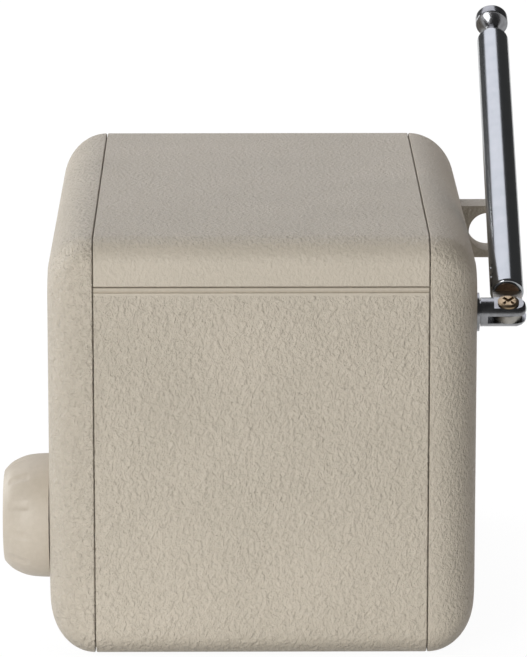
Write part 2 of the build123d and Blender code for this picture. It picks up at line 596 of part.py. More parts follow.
# Push buttons with their board and switches, and the indicator
button_tip = FRONT - BUTTON_OUT
button_back = FRONT_IN + 1.1
stem_end = FRONT_IN + 1.5
for name, x in BUTTON_XS.items():
    keep(turned([(0, button_tip), (BUTTON_R - BUTTON_EDGE, button_tip), (BUTTON_R, button_tip + BUTTON_EDGE),
                 (BUTTON_R, FRONT_IN + PLAY), (BUTTON_FLANGE_R, FRONT_IN + PLAY),
                 (BUTTON_FLANGE_R, button_back), (BUTTON_STEM_R, button_back), (BUTTON_STEM_R, stem_end),
                 (0, stem_end)], along_depth(x, BUTTON_Z)), name)
with BuildPart() as button_board:
    with BuildSketch(across(BUTTON_BOARD_Y + BOARD_T)):
        with Locations((SPEAKER_X, BUTTON_Z)):
            Rectangle(BUTTON_BOARD_W, BUTTON_BOARD_H)
        with Locations(*BUTTON_POSTS):
            Circle(BUTTON_SHANK_R, mode=Mode.SUBTRACT)
    extrude(amount=BOARD_T)
keep(button_board, "button_board")
with BuildPart() as button_switches:
    with BuildSketch(across(BUTTON_BOARD_Y)):
        with Locations(*[(x, BUTTON_Z) for x in BUTTON_XS.values()]):
            Rectangle(SWITCH_SIZE, SWITCH_SIZE)
    extrude(amount=SWITCH_H)
    with BuildSketch(across(BUTTON_BOARD_Y - SWITCH_H)):
        with Locations(*[(x, BUTTON_Z) for x in BUTTON_XS.values()]):
            Circle(SWITCH_PLUNGER_R)
    extrude(amount=SWITCH_PLUNGER_H)
keep(button_switches, "button_switches")
indicator_tip, indicator_back = FRONT - 0.2, FRONT_IN + 1.0
keep(turned([(0, indicator_tip), (INDICATOR_R, indicator_tip), (INDICATOR_R, indicator_back),
             (0, indicator_back)], along_depth(INDICATOR_X, BUTTON_Z)), "indicator_lens")

# Main board on its posts, with its parts, the sockets at its rear edge and the band switch
with BuildPart() as main_board:
    with BuildSketch(Plane.XY.offset(BOARD_Z)):
        with Locations((BOARD_X, BOARD_Y)):
            Rectangle(BOARD_W, BOARD_D)
        with Locations(*BOARD_SCREWS):
            Circle(BOARD_SHANK_R, mode=Mode.SUBTRACT)
    extrude(amount=BOARD_T)
keep(main_board, "main_board")
CHIPS = ((36, -3, 12, 12, 1.6), (29, 8, 7, 6, 1.4), (27, -13, 7, 7, 8), (48, 4, 9, 8, 3))
CANS = ((46, -14, 4, 11), (36, -17, 3, 8), (39, 14, 2.5, 6))
with BuildPart() as board_parts:
    for x, y, width, depth, height in CHIPS:
        with Locations((x, y, BOARD_TOP + height / 2)):
            Box(width, depth, height)
    for x, y, radius, height in CANS:
        with Locations((x, y, BOARD_TOP + height / 2)):
            Cylinder(radius, height)
keep(board_parts, "board_parts")
with BuildPart() as inner_screws:
    for places, seat, shank_r, shank_l, head_r, head_h in (
            (speaker_places, FRONT_IN + FLANGE_T, SPEAKER_SHANK_R, FLANGE_T + 1.8, 1.3, 1.0),
            (tuner_posts, TUNER_Y + CHASSIS_T, TUNER_SHANK_R, CHASSIS_T + 4.5, 2.0, 1.4),
            (BUTTON_POSTS, BUTTON_BOARD_Y + BOARD_T, BUTTON_SHANK_R, BOARD_T + 4.0, 1.7, 1.2)):
        for radius, length in ((shank_r, shank_l), (head_r, -head_h)):
            with BuildSketch(across(seat)):
                with Locations(*places):
                    Circle(radius)
            extrude(amount=length)
    for radius, length in ((BOARD_SHANK_R, -BOARD_T - 3.5), (2 * BOARD_SHANK_R, 1.5)):
        with BuildSketch(Plane.XY.offset(BOARD_TOP)):
            with Locations(*BOARD_SCREWS):
                Circle(radius)
        extrude(amount=length)
keep(inner_screws, "inner_screws")

SOCKET_END = REAR - 0.2
HOUSING_H = 2 * (SOCKET_Z - BOARD_TOP)
with BuildPart() as headphone_jack:
    with BuildSketch(across(REAR_IN - 0.2)):
        with Locations((JACK_X, SOCKET_Z)):
            Rectangle(JACK_W, HOUSING_H)
    extrude(amount=JACK_BODY_L)
    with BuildSketch(across(SOCKET_END)):
        with Locations((JACK_X, SOCKET_Z)):
            Circle(JACK_NOSE_R)
    extrude(amount=JACK_L / 2)
    with BuildSketch(across(SOCKET_END)):
        with Locations((JACK_X, SOCKET_Z)):
            Circle(JACK_BORE_R)
    extrude(amount=JACK_L, mode=Mode.SUBTRACT)
keep(headphone_jack, "headphone_jack")
with BuildPart() as power_inlet:
    with BuildSketch(across(SOCKET_END)):
        with Locations((INLET_X, SOCKET_Z)):
            SlotOverall(INLET_W, INLET_H)
    extrude(amount=INLET_L)
    with BuildSketch(across(SOCKET_END)):
        with Locations((INLET_X, SOCKET_Z)):
            SlotOverall(INLET_W - 2 * INLET_WALL, INLET_H - 2 * INLET_WALL)
            Rectangle(TONGUE_W, TONGUE_T, mode=Mode.SUBTRACT)
    extrude(amount=INLET_DEEP, mode=Mode.SUBTRACT)
    with BuildSketch(across(REAR_IN - INLET_GAP)):
        with Locations((INLET_X, (BOARD_TOP + SOCKET_Z - 1.0) / 2)):
            Rectangle(INLET_W - 1.0, SOCKET_Z - BOARD_TOP - 1.0)
    extrude(amount=INLET_DEEP)
keep(power_inlet, "power_inlet")
SWITCH_FACE = 39.4
SWITCH_W, SWITCH_D, SWITCH_DEEP = 9.0, 6.0, 2.3
with BuildPart() as band_switch:
    with BuildSketch(across(SWITCH_FACE)):
        with Locations((SWITCH_X, SOCKET_Z)):
            Rectangle(SWITCH_W, HOUSING_H)
    extrude(amount=SWITCH_D)
    with BuildSketch(across(SWITCH_FACE)):
        with Locations((SWITCH_X, SOCKET_Z)):
            Rectangle(SLIDER_PEG + SLIDE_TRAVEL + 2 * PLAY, SLIDER_PEG + 2 * PLAY)
    extrude(amount=SWITCH_DEEP, mode=Mode.SUBTRACT)
keep(band_switch, "band_switch")
with BuildPart() as band_slider:
    for width, height, start, length in ((SLIDER_W, SLIDER_H, SOCKET_END, 3.0),
                                         (2 * SLIDER_W, SLIDER_H + 2.0, REAR_IN - PLAY, 0.9),
                                         (SLIDER_PEG, SLIDER_PEG, REAR_IN - 1.0, 2.8)):
        with BuildSketch(across(start)):
            with Locations((SWITCH_X - SLIDE_TRAVEL / 2, SOCKET_Z)):
                Rectangle(width, height)
        extrude(amount=length)
keep(band_slider, "band_slider")

# Battery bay: tray, two cells laid head to tail, end plates and leaf springs, and the hinged door
BAY_W, BAY_H, BAY_WALL, BAY_FLOOR = 57.0, 32.0, 1.5, 22.0
CELL_Y = BAY_FLOOR + BAY_WALL + CELL_R + 2 * LIP_CLEAR
CELL_GAP = 15.2
CONTACT_T, CONTACT_SIZE = 0.4, 11.0
LEAF_W, LEAF_SPREAD, LEAF_CREST, LEAF_T = 6.0, 4.0, 0.4, 0.8
NIPPLE_L, NIPPLE_R = 1.0, 2.7
contact_x = BAY_W / 2 - CONTACT_T
cells = ((1, DOOR_Z - CELL_GAP / 2), (-1, DOOR_Z + CELL_GAP / 2))
with BuildPart() as battery_tray:
    with BuildSketch(across(REAR_IN)):
        with Locations((DOOR_X, DOOR_Z)):
            Rectangle(BAY_W + 2 * BAY_WALL, BAY_H + 2 * BAY_WALL)
    extrude(amount=REAR_IN - BAY_FLOOR)
    with BuildSketch(across(REAR_IN)):
        with Locations((DOOR_X, DOOR_Z)):
            Rectangle(BAY_W, BAY_H)
    extrude(amount=REAR_IN - BAY_FLOOR - BAY_WALL, mode=Mode.SUBTRACT)
keep(battery_tray, "battery_tray")
with BuildPart() as batteries:
    for way, z in cells:
        for radius, end, length in ((CELL_R, contact_x - NIPPLE_L, CELL_L - NIPPLE_L),
                                    (NIPPLE_R, contact_x, NIPPLE_L)):
            with BuildSketch(Plane.YZ.offset(DOOR_X + way * end)):
                with Locations((CELL_Y, z)):
                    Circle(radius)
            extrude(amount=-way * length)
keep(batteries, "batteries")
with BuildPart() as battery_contacts:
    for way in (-1, 1):
        with BuildSketch(Plane.YZ.offset(DOOR_X + way * contact_x)):
            with Locations((CELL_Y, DOOR_Z - CELL_GAP / 2), (CELL_Y, DOOR_Z + CELL_GAP / 2)):
                Rectangle(CONTACT_SIZE, CONTACT_SIZE)
        extrude(amount=way * CONTACT_T)
    for way, z in cells:
        root = DOOR_X - way * contact_x
        crest = DOOR_X + way * (contact_x - CELL_L)
        with BuildSketch(Plane.XY.offset(z - LEAF_W / 2)):
            with BuildLine():
                Polyline((root, CELL_Y - LEAF_SPREAD), (crest, CELL_Y - LEAF_CREST),
                         (crest, CELL_Y + LEAF_CREST), (root, CELL_Y + LEAF_SPREAD),
                         (root, CELL_Y + LEAF_SPREAD - LEAF_T),
                         (crest - way * LEAF_T, CELL_Y), (root, CELL_Y - LEAF_SPREAD + LEAF_T), close=True)
            make_face()
        extrude(amount=LEAF_W)
keep(battery_contacts, "battery_contacts")
with BuildPart() as battery_door:
    with BuildSketch(across(REAR)):
        with Locations((DOOR_X, DOOR_Z)):
            Rectangle(DOOR_W - 2 * PLAY, DOOR_H - 2 * PLAY)
    extrude(amount=DOOR_T)
    low_edge = battery_door.edges().filter_by(Axis.X).group_by(Axis.Z)[0].sort_by(Axis.Y)[-1]
    fillet(low_edge, DOOR_EDGE_R)
    with BuildSketch(across(REAR)):
        with Locations((DOOR_X, DOOR_Z + DOOR_H / 2 - GRIP_W)):
            SlotOverall(GRIP_L, GRIP_W)
    extrude(amount=GRIP_DEEP, mode=Mode.SUBTRACT)
    with BuildSketch(Plane.YZ.offset(DOOR_X)):
        with Locations((PIN_Y, PIN_Z)):
            Circle(PIN_R)
    extrude(amount=DOOR_W / 2 + PIN_REACH, both=True)
keep(battery_door, "battery_door")

# Ferrite bar for medium wave and its coil, in the holders under the top
COIL_X, COIL_L, COIL_WALL = -10.0, 20.0, 1.2
bar_axis = Plane(origin=(0, BAR_Y, BAR_Z), x_dir=(0, 0, 1), z_dir=(0, 1, 0))
keep(turned([(0, -BAR_L / 2), (BAR_R, -BAR_L / 2), (BAR_R, BAR_L / 2), (0, BAR_L / 2)], bar_axis),
     "ferrite_bar")
coil_start, coil_end = COIL_X - COIL_L / 2, COIL_X + COIL_L / 2
keep(turned([(BAR_R, coil_start), (BAR_R + COIL_WALL, coil_start), (BAR_R + COIL_WALL, coil_end),
             (BAR_R, coil_end)], bar_axis), "ferrite_coil")

# Antenna mount: bush in the rear wall, and the forked stub that swivels in it, riveted over inside
hinge = Vector(ROD_X, REAR + ROD_OUT, ROD_Z)
screw_dir = Vector(sin(radians(ROD_RISE)), 0, cos(radians(ROD_RISE)))
level_dir = Vector(-cos(radians(ROD_RISE)), 0, sin(radians(ROD_RISE)))
rod_dir = level_dir * cos(radians(ROD_LEAN)) + Vector(0, sin(radians(ROD_LEAN)), 0)
fork = Plane(origin=hinge, x_dir=(0, 1, 0), z_dir=screw_dir)
foot = Plane(origin=hinge, x_dir=rod_dir.cross(screw_dir), z_dir=screw_dir)
rod = Plane(origin=hinge, x_dir=screw_dir, z_dir=screw_dir.cross(rod_dir))
screw = Plane(origin=hinge, x_dir=(0, 1, 0), z_dir=Vector(0, 1, 0).cross(screw_dir))
stub_axis = along_depth(ROD_X, ROD_Z)
NECK_R = 2.5
STUB_IN = 37.0
RIVET_R, RIVET_T = 4.2, 1.6
COLLAR = 0.6
BUSH_FLANGE_R, BUSH_FLANGE_T = 5.5, 2.4
flange_in = REAR_IN - BUSH_FLANGE_T
keep(turned([(NECK_R + RUN, flange_in), (BUSH_FLANGE_R, flange_in), (BUSH_FLANGE_R, REAR_IN),
             (BUSH_R, REAR_IN), (BUSH_R, REAR + COLLAR), (NECK_R + RUN, REAR + COLLAR)],
            stub_axis), "antenna_bush")
stub_start = REAR + COLLAR + PLAY
stub_end = REAR + ROD_OUT + FORK_END
stub_blank = turned([(0, STUB_IN), (RIVET_R, STUB_IN), (RIVET_R, STUB_IN + RIVET_T),
                     (NECK_R, STUB_IN + RIVET_T), (NECK_R, stub_start), (STUB_R, stub_start),
                     *[(STUB_R - inset, stub_end - back) for inset, back in STUB_NOSE],
                     (0, stub_end)], stub_axis)
SCREW_SHANK = 1.0
SLOT_BACK = 4.3
CUT = 10.0           # larger than the fork, for cutting blocks
with BuildPart() as antenna_stub:
    add(stub_blank.part)
    with BuildSketch(fork):
        Circle(FORK_END)
        with Locations((-CUT, 0)):
            Rectangle(2 * CUT, 2 * FORK_END)
    extrude(amount=CUT, both=True, mode=Mode.INTERSECT)
    with BuildSketch(fork):
        with Locations((CUT / 2 - SLOT_BACK, 0)):
            Rectangle(CUT, CUT)
    extrude(amount=FORK_SLOT / 2, both=True, mode=Mode.SUBTRACT)
    for side in (-1, 1):
        with BuildSketch(fork.offset(side * FORK_FLAT)):
            with Locations((STUB_R - 1.0, 0)):
                Rectangle(CUT, CUT)
        extrude(amount=side * STUB_R, mode=Mode.SUBTRACT)
    with BuildSketch(fork):
        Circle(SCREW_SHANK)
    extrude(amount=CUT, both=True, mode=Mode.SUBTRACT)
keep(antenna_stub, "antenna_stub")
HEAD_R, HEAD_H, HEAD_RIM, HEAD_CROWN_R = 2.2, 0.6, 0.35, 1.6
CROSS_SIZE, CROSS_BAR, CROSS_DEEP = 3.0, 0.7, 0.4
CROSS_TURN = 45.0    # degrees, of the recess from the line of the stub
head_top = FORK_FLAT + HEAD_H
hinge_screw_blank = turned([(0, -FORK_FLAT), (SCREW_SHANK, -FORK_FLAT), (SCREW_SHANK, FORK_FLAT),
                            (HEAD_R, FORK_FLAT), (HEAD_R, FORK_FLAT + HEAD_RIM), (HEAD_CROWN_R, head_top),
                            (0, head_top)], screw)
with BuildPart() as hinge_screw:
    add(hinge_screw_blank.part)
    with BuildSketch(fork.offset(head_top)):
        for turn in (CROSS_TURN, -CROSS_TURN):
            Rectangle(CROSS_SIZE, CROSS_BAR, rotation=turn)
    extrude(amount=-CROSS_DEEP, mode=Mode.SUBTRACT)
keep(hinge_screw, "hinge_screw")

# Antenna rod: folding foot, then tubes that slide in one another, and the tip
PLUG_END = 12.0
ROLL_R, ROLL_T = 2.6, 0.5    # mouth and thickness of the tube's rolled-in end
ROLL_EDGE = 0.6
FACE_PROUD = 0.2             # of the plug beyond the rolled end
EYE_R = 3.0
TAB_W = 6.0
PLUG_R = TUBE_RS[0] - TUBE_WALL
face = TUBE_START - FACE_PROUD
roll_in = TUBE_START + ROLL_T
plug = turned([(0, face), (ROLL_R, face), (ROLL_R, roll_in), (PLUG_R, roll_in), (PLUG_R, PLUG_END),
               (0, PLUG_END)], rod)
with BuildPart() as antenna_foot:
    add(plug.part)
    with BuildSketch(foot):
        Circle(EYE_R)
        with Locations((0, TUBE_START / 2 - RUN)):
            Rectangle(TAB_W, TUBE_START - 2 * RUN)
    extrude(amount=FORK_SLOT / 2 - RUN, both=True)
    with BuildSketch(foot):
        Circle(SCREW_SHANK + RUN)
    extrude(amount=FORK_SLOT, both=True, mode=Mode.SUBTRACT)
keep(antenna_foot, "antenna_foot")
tube_names = ("antenna_tube_outer", "antenna_tube_second", "antenna_tube_third", "antenna_tube_fourth")
for step, (name, radius) in enumerate(zip(tube_names, TUBE_RS)):
    start = TUBE_START if step == 0 else PLUG_END + step
    end = TUBE_END + step * TUBE_STEP
    inner = radius - TUBE_WALL
    foot_end = [(inner, start), (radius, start)]
    if step == 0:
        foot_end = [(inner, roll_in), (ROLL_R, roll_in), (ROLL_R, start), (radius - ROLL_EDGE, start),
                    (radius, start + ROLL_EDGE)]
    far_end = [(radius, end - TUBE_WALL), (inner + TUBE_WALL / 4, end), (inner, end)]
    keep(turned([*foot_end, *far_end], rod), name)
ROD_R = TUBE_RS[-1] - TUBE_WALL - RUN
ROD_START = PLUG_END + len(TUBE_RS)
ROD_END = TUBE_END + len(TUBE_RS) * TUBE_STEP
keep(turned([(0, ROD_START), (ROD_R, ROD_START), (ROD_R, ROD_END), (0, ROD_END)], rod), "antenna_rod_inner")
cone_start = ROD_END + TIP_NECK_L
tip_end = cone_start + TIP_CONE + TIP_BAND
keep(turned([(0, ROD_END), (TIP_NECK_R, ROD_END), (TIP_NECK_R, cone_start), (TIP_R, cone_start + TIP_CONE),
             (TIP_R, tip_end - TIP_EDGE), (TIP_R - TIP_EDGE, tip_end), (0, tip_end)], rod), "antenna_tip")

# Clip that holds the folded rod: a fork open to the rear, on two pegs in the rear wall
with BuildPart() as antenna_clip:
    with BuildSketch(Plane.YZ.offset(CLIP_X)):
        with Locations((REAR + CLIP_OUT / 2, CLIP_Z)):
            Rectangle(CLIP_OUT, CLIP_SLOT + 2 * CLIP_ARM)
        slot_y = REAR + CLIP_BACK + CLIP_SLOT / 2
        with Locations((slot_y, CLIP_Z)):
            Circle(CLIP_SLOT / 2, mode=Mode.SUBTRACT)
        with Locations((slot_y + CLIP_OUT / 2, CLIP_Z)):
            Rectangle(CLIP_OUT, CLIP_SLOT, mode=Mode.SUBTRACT)
    extrude(amount=CLIP_L / 2, both=True)
    fillet(antenna_clip.edges().filter_by(Axis.X).group_by(Axis.Y)[-1], CLIP_EDGE_R)
    with BuildSketch(across(REAR)):
        with Locations((CLIP_X, CLIP_Z - CLIP_PEG_Z), (CLIP_X, CLIP_Z + CLIP_PEG_Z)):
            Circle(CLIP_PEG_R)
    extrude(amount=FACE_WALL)
keep(antenna_clip, "antenna_clip")

# Leads inside the case: loudspeaker, battery and antenna to the main board
LEAD_R, LEAD_BEND_R = 0.6, 4.0
lead_y = REAR_IN - BUSH_FLANGE_T / 2
lead_routes = (
    ((TAG_X, BASKET_BACK, TAG_Z), (TAG_X, -12, TAG_Z), (TAG_X, -12, 21), (22, -6, 21), (22, -6, BOARD_TOP)),
    ((DOOR_X + BAY_W / 2 + BAY_WALL, 28, 24), (21, 28, 24), (21, 28, BOARD_TOP)),
    ((ROD_X, lead_y, ROD_Z - BUSH_FLANGE_R), (ROD_X, lead_y, 58), (ROD_X, 18, 52), (ROD_X, 18, BOARD_TOP)),
)
with BuildPart() as leads:
    for points in lead_routes:
        with BuildLine() as route:
            FilletPolyline(*points, radius=LEAD_BEND_R)
        with BuildSketch(Plane(origin=route.line @ 0, z_dir=route.line % 0)):
            Circle(LEAD_R)
        sweep(path=route.line)
keep(leads, "leads")
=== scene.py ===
"""Tabletop radio: leather-grained case, tuning knob, and a folding rod antenna at the rear."""

import json
from math import cos, pi, radians, sin

import bmesh
import bpy
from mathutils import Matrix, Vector


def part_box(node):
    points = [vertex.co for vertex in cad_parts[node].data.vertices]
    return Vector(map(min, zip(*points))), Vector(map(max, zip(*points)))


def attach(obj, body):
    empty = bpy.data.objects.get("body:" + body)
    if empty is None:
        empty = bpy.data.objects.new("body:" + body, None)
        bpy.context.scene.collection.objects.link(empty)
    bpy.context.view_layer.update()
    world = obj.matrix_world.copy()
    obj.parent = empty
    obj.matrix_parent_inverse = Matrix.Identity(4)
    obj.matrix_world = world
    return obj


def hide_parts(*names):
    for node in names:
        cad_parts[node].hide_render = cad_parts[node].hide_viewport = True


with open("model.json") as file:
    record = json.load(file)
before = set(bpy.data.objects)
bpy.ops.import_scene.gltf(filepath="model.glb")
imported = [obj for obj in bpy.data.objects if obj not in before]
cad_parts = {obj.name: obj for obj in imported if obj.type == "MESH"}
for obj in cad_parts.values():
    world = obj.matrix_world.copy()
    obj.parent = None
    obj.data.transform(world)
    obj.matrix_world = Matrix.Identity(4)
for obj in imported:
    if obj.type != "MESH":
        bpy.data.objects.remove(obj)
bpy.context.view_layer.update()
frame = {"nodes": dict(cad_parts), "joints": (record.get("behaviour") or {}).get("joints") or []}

# Front moulding: one cover of injection-moulded ABS in warm beige, rounded on all its edges, with a lively
# leather grain etched into the mould. It is hollow behind, and a spigot plugs it into the two shells.
MM = 0.001
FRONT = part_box("front_frame")[0][1]
HALF_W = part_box("lower_shell")[1][0]
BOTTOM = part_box("lower_shell")[0][2]
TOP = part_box("upper_shell")[1][2]
MID_Z = (BOTTOM + TOP) / 2
HALF_H = (TOP - BOTTOM) / 2
FRONT_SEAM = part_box("lower_shell")[0][1]
EDGE_R = 9.5 * MM
SIDE_R = 5.5 * MM
WALL = 2.4 * MM
FACE_WALL = 2.8 * MM
SPIGOT = 2.5 * MM
LIP = 3.0 * MM
RIM = 5.2 * MM
SOFT_EDGE = 0.15 * MM
CORNER_STEPS = 14
EDGE_STEPS = 28
BEIGE = "#BFB5A5"
# Low shade of the grain: its random darker patches, and painted shade in the valleys of the wrinkles
BEIGE_DRIFT_AND_VALLEY_SHADE = "#B3AA9A"
GRAIN_LEAN = radians(-16)
GRAIN_LONG = 1.4                 # length of a wrinkle over its width
GRAIN_WANDER = (2.6, 2.6, 2.0)   # how far a wrinkle is pushed aside, in widths
PEBBLE_SHARE = 0.6
GRAIN_MEAN = 0.8                 # height about which a fading grain rises and falls
DRIFT = 25.0 * MM                # size of the patches in which the colour drifts
DRIFT_SHARE = 0.8
WELD = 0.001 * MM


def rounded_loop(y, inset, radius):
    """Points of the case's rounded-rectangle section at depth y, drawn inset from its outside."""
    points = []
    for corner in range(4):
        side_x = 1 if corner in (0, 3) else -1
        side_z = 1 if corner in (0, 1) else -1
        centre_x = side_x * (HALF_W - inset - radius)
        centre_z = MID_Z + side_z * (HALF_H - inset - radius)
        for step in range(CORNER_STEPS + 1):
            turn = (corner + step / CORNER_STEPS) * pi / 2
            points.append(Vector((centre_x + radius * cos(turn), y, centre_z + radius * sin(turn))))
    return points


def skin(name, loops, wrap=False):
    """Closed mesh through a row of loops; the ends are capped, or joined to each other to make a ring."""
    count = len(loops[0])
    rows = len(loops)
    faces = []
    for row in range(rows if wrap else rows - 1):
        here = row * count
        there = (row + 1) % rows * count
        for i in range(count):
            j = (i + 1) % count
            faces.append((here + i, here + j, there + j, there + i))
    if not wrap:
        faces += [tuple(range(count)), tuple(range((rows - 1) * count, rows * count))]
    mesh = bpy.data.meshes.new(name)
    mesh.from_pydata([point for loop in loops for point in loop], [], faces)
    shape = bmesh.new()
    shape.from_mesh(mesh)
    bmesh.ops.remove_doubles(shape, verts=shape.verts, dist=WELD)
    bmesh.ops.dissolve_degenerate(shape, edges=shape.edges, dist=WELD)
    bmesh.ops.recalc_face_normals(shape, faces=shape.faces)
    shape.to_mesh(mesh)
    shape.free()
    return mesh


def place(name, mesh, material, body, slot, *nodes, sharp=35):
    """Put a finished mesh in the scene with its finish, its body and the nodes that it stands for."""
    mesh.shade_smooth()
    mesh.set_sharp_from_angle(angle=radians(sharp))
    mesh.materials.clear()
    mesh.materials.append(material)
    piece = bpy.data.objects.new(name, mesh)
    bpy.context.scene.collection.objects.link(piece)
    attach(piece, body)
    if nodes:
        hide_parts(*nodes)
    return piece


def spun_loops(outline, origin, axis, steps):
    """Rings of points for an outline of (radius, distance) pairs turned about an axis through origin."""
    axis = Vector(axis).normalized()
    sideways = axis.orthogonal().normalized()
    beside = axis.cross(sideways)
    turns = [2 * pi * step / steps for step in range(steps)]
    return [[Vector(origin) + axis * along + (sideways * cos(turn) + beside * sin(turn)) * radius
             for turn in turns] for radius, along in outline]


def cut(mesh, cutters):
    """Mesh with the closed cutter meshes taken out of it."""
    blank = bpy.data.objects.new("blank", mesh)
    bpy.context.scene.collection.objects.link(blank)
    tools = []
    for cutter in cutters:
        tool = bpy.data.objects.new("tool", cutter)
        bpy.context.scene.collection.objects.link(tool)
        tools.append(tool)
        modifier = blank.modifiers.new("cut", "BOOLEAN")
        modifier.operation = "DIFFERENCE"
        modifier.solver = "EXACT"
        modifier.object = tool
    bpy.context.view_layer.update()
    done = bpy.data.meshes.new_from_object(blank.evaluated_get(bpy.context.evaluated_depsgraph_get()))
    for thing in [blank] + tools:
        bpy.data.objects.remove(thing)
    return done


def linear(colour):
    """Linear colour, with alpha, of an sRGB hex value."""
    parts = [int(colour[i:i + 2], 16) / 255 for i in (1, 3, 5)]
    return [p / 12.92 if p <= 0.04045 else ((p + 0.055) / 1.055) ** 2.4 for p in parts] + [1.0]


def add_node(tree, kind, settings=None, **inputs):
    """One node with its settings; an input is a value or the output socket of another node."""
    made = tree.nodes.new(kind if kind.startswith("Geometry") else "ShaderNode" + kind)
    for name, value in (settings or {}).items():
        setattr(made, name, value)
    for name, value in inputs.items():
        key = int(name[1:]) if name[1:].isdigit() else name.replace("_", " ")
        if isinstance(value, bpy.types.NodeSocket):
            tree.links.new(value, made.inputs[key])
        else:
            made.inputs[key].default_value = value
    return made


def finish(name, **constants):
    """New material with its tree and shader; constants go on the shader's own sockets."""
    material = bpy.data.materials.new(name)
    material.use_nodes = True
    shader = material.node_tree.nodes["Principled BSDF"]
    for socket, value in constants.items():
        shader.inputs[socket.replace("_", " ")].default_value = value
    return material, material.node_tree, shader


def grained_abs(name, ridge, depth, fade=None):
    """ABS from an etched mould: short soft wrinkles, rather longer than wide, that lean a little
    and wander. The eye gets a quiet leather grain with small glints, and hardly any change of colour.
    A fade gives the Z where the grain is full, the Z where it is calm, and the share left there."""
    material, tree, shader = finish(name, IOR=1.53)
    where = add_node(tree, "TexCoord").outputs["Object"]
    leaning = add_node(tree, "Mapping", {"vector_type": "TEXTURE"}, Vector=where,
                       Rotation=(GRAIN_LEAN, 0, 0), Scale=(ridge, ridge, GRAIN_LONG * ridge)).outputs[0]
    wander = add_node(tree, "TexNoise", Vector=leaning, Scale=0.35, Detail=1.0).outputs["Color"]
    bent = add_node(tree, "VectorMath", {"operation": "MULTIPLY_ADD"}, _0=wander, _1=GRAIN_WANDER,
                    _2=leaning).outputs[0]
    wrinkle = add_node(tree, "TexNoise", Vector=bent, Scale=0.62, Detail=3.0, Roughness=0.6).outputs["Fac"]
    pebble = add_node(tree, "TexNoise", Vector=where, Scale=0.5 / ridge, Detail=2.0).outputs["Fac"]
    height = add_node(tree, "Math", {"operation": "MULTIPLY_ADD"}, _0=pebble, _1=PEBBLE_SHARE,
                      _2=wrinkle).outputs[0]
    if fade:
        full, calm, share = fade
        height = add_node(tree, "Math", {"operation": "SUBTRACT"}, _0=height, _1=GRAIN_MEAN).outputs[0]
        level = add_node(tree, "SeparateXYZ", Vector=where).outputs["Z"]
        keep = add_node(tree, "MapRange", Value=level, From_Min=full, From_Max=calm, To_Min=1.0,
                        To_Max=share).outputs[0]
        height = add_node(tree, "Math", {"operation": "MULTIPLY"}, _0=height, _1=keep).outputs[0]
    bump = add_node(tree, "Bump", Height=height, Distance=depth, Strength=1.0)
    tree.links.new(bump.outputs[0], shader.inputs["Normal"])
    # The colour drifts at random over large patches, and the valleys of the wrinkles are painted a little
    # darker: painted shade in the grain
    drift = add_node(tree, "TexNoise", Vector=where, Scale=1 / DRIFT, Detail=2.0).outputs["Fac"]
    tone = add_node(tree, "Math", {"operation": "MULTIPLY_ADD"}, _0=drift, _1=DRIFT_SHARE,
                    _2=wrinkle).outputs[0]
    tone = add_node(tree, "MapRange", Value=tone, From_Min=0.6, From_Max=1.2).outputs[0]
    colour = add_node(tree, "Mix", {"data_type": "RGBA"}, Factor=tone, _6=linear(BEIGE_DRIFT_AND_VALLEY_SHADE), _7=linear(BEIGE))
    tree.links.new(colour.outputs[2], shader.inputs["Base Color"])
    gloss = add_node(tree, "MapRange", Value=pebble, From_Min=0.3, From_Max=0.7, To_Min=0.6, To_Max=0.44)
    tree.links.new(gloss.outputs[0], shader.inputs["Roughness"])
    return material


# The front's lively grain breaks up the light along its round edge
front_grain = grained_abs("moulded ABS, lively leather grain", ridge=0.5 * MM, depth=0.85 * MM)


def moulding(name, face, inward, seam):
    """Rounded cover over one end of the case, from its face round to its seam, with spigot and pocket."""
    depth = abs(seam - face)
    loops = []
    for step in range(EDGE_STEPS + 1):
        turn = radians(90) * step / EDGE_STEPS
        back = min(depth * (1 - cos(turn)), depth - SOFT_EDGE)
        loops.append(rounded_loop(face + inward * back, EDGE_R * (1 - sin(turn)), SIDE_R))
    loops.append(rounded_loop(seam, SOFT_EDGE, SIDE_R - SOFT_EDGE))
    loops.append(rounded_loop(seam, SPIGOT, SIDE_R - SPIGOT))
    loops.append(rounded_loop(seam + inward * LIP, SPIGOT, SIDE_R - SPIGOT))
    loops.append(rounded_loop(seam + inward * LIP, RIM, SIDE_R - WALL))
    loops.append(rounded_loop(face + inward * FACE_WALL, RIM, SIDE_R - WALL))
    return skin(name, loops)


def plug(x, z, *steps, sides=96):
    """Round cutter along the depth at (x, z), stepped by (radius, from, to)."""
    outline = [(0, steps[0][1])]
    for radius, start, end in steps:
        outline += [(radius, start), (radius, end)]
    outline.append((0, steps[-1][2]))
    return skin("plug", spun_loops(outline, (x, 0, z), (0, 1, 0), sides))


def middle(node):
    """Centre of a node's box."""
    low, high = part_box(node)
    return (Vector(low) + Vector(high)) / 2


def across(node, way):
    """Size of a node's box along X, Y or Z, as 0, 1 or 2."""
    low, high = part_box(node)
    return high[way] - low[way]


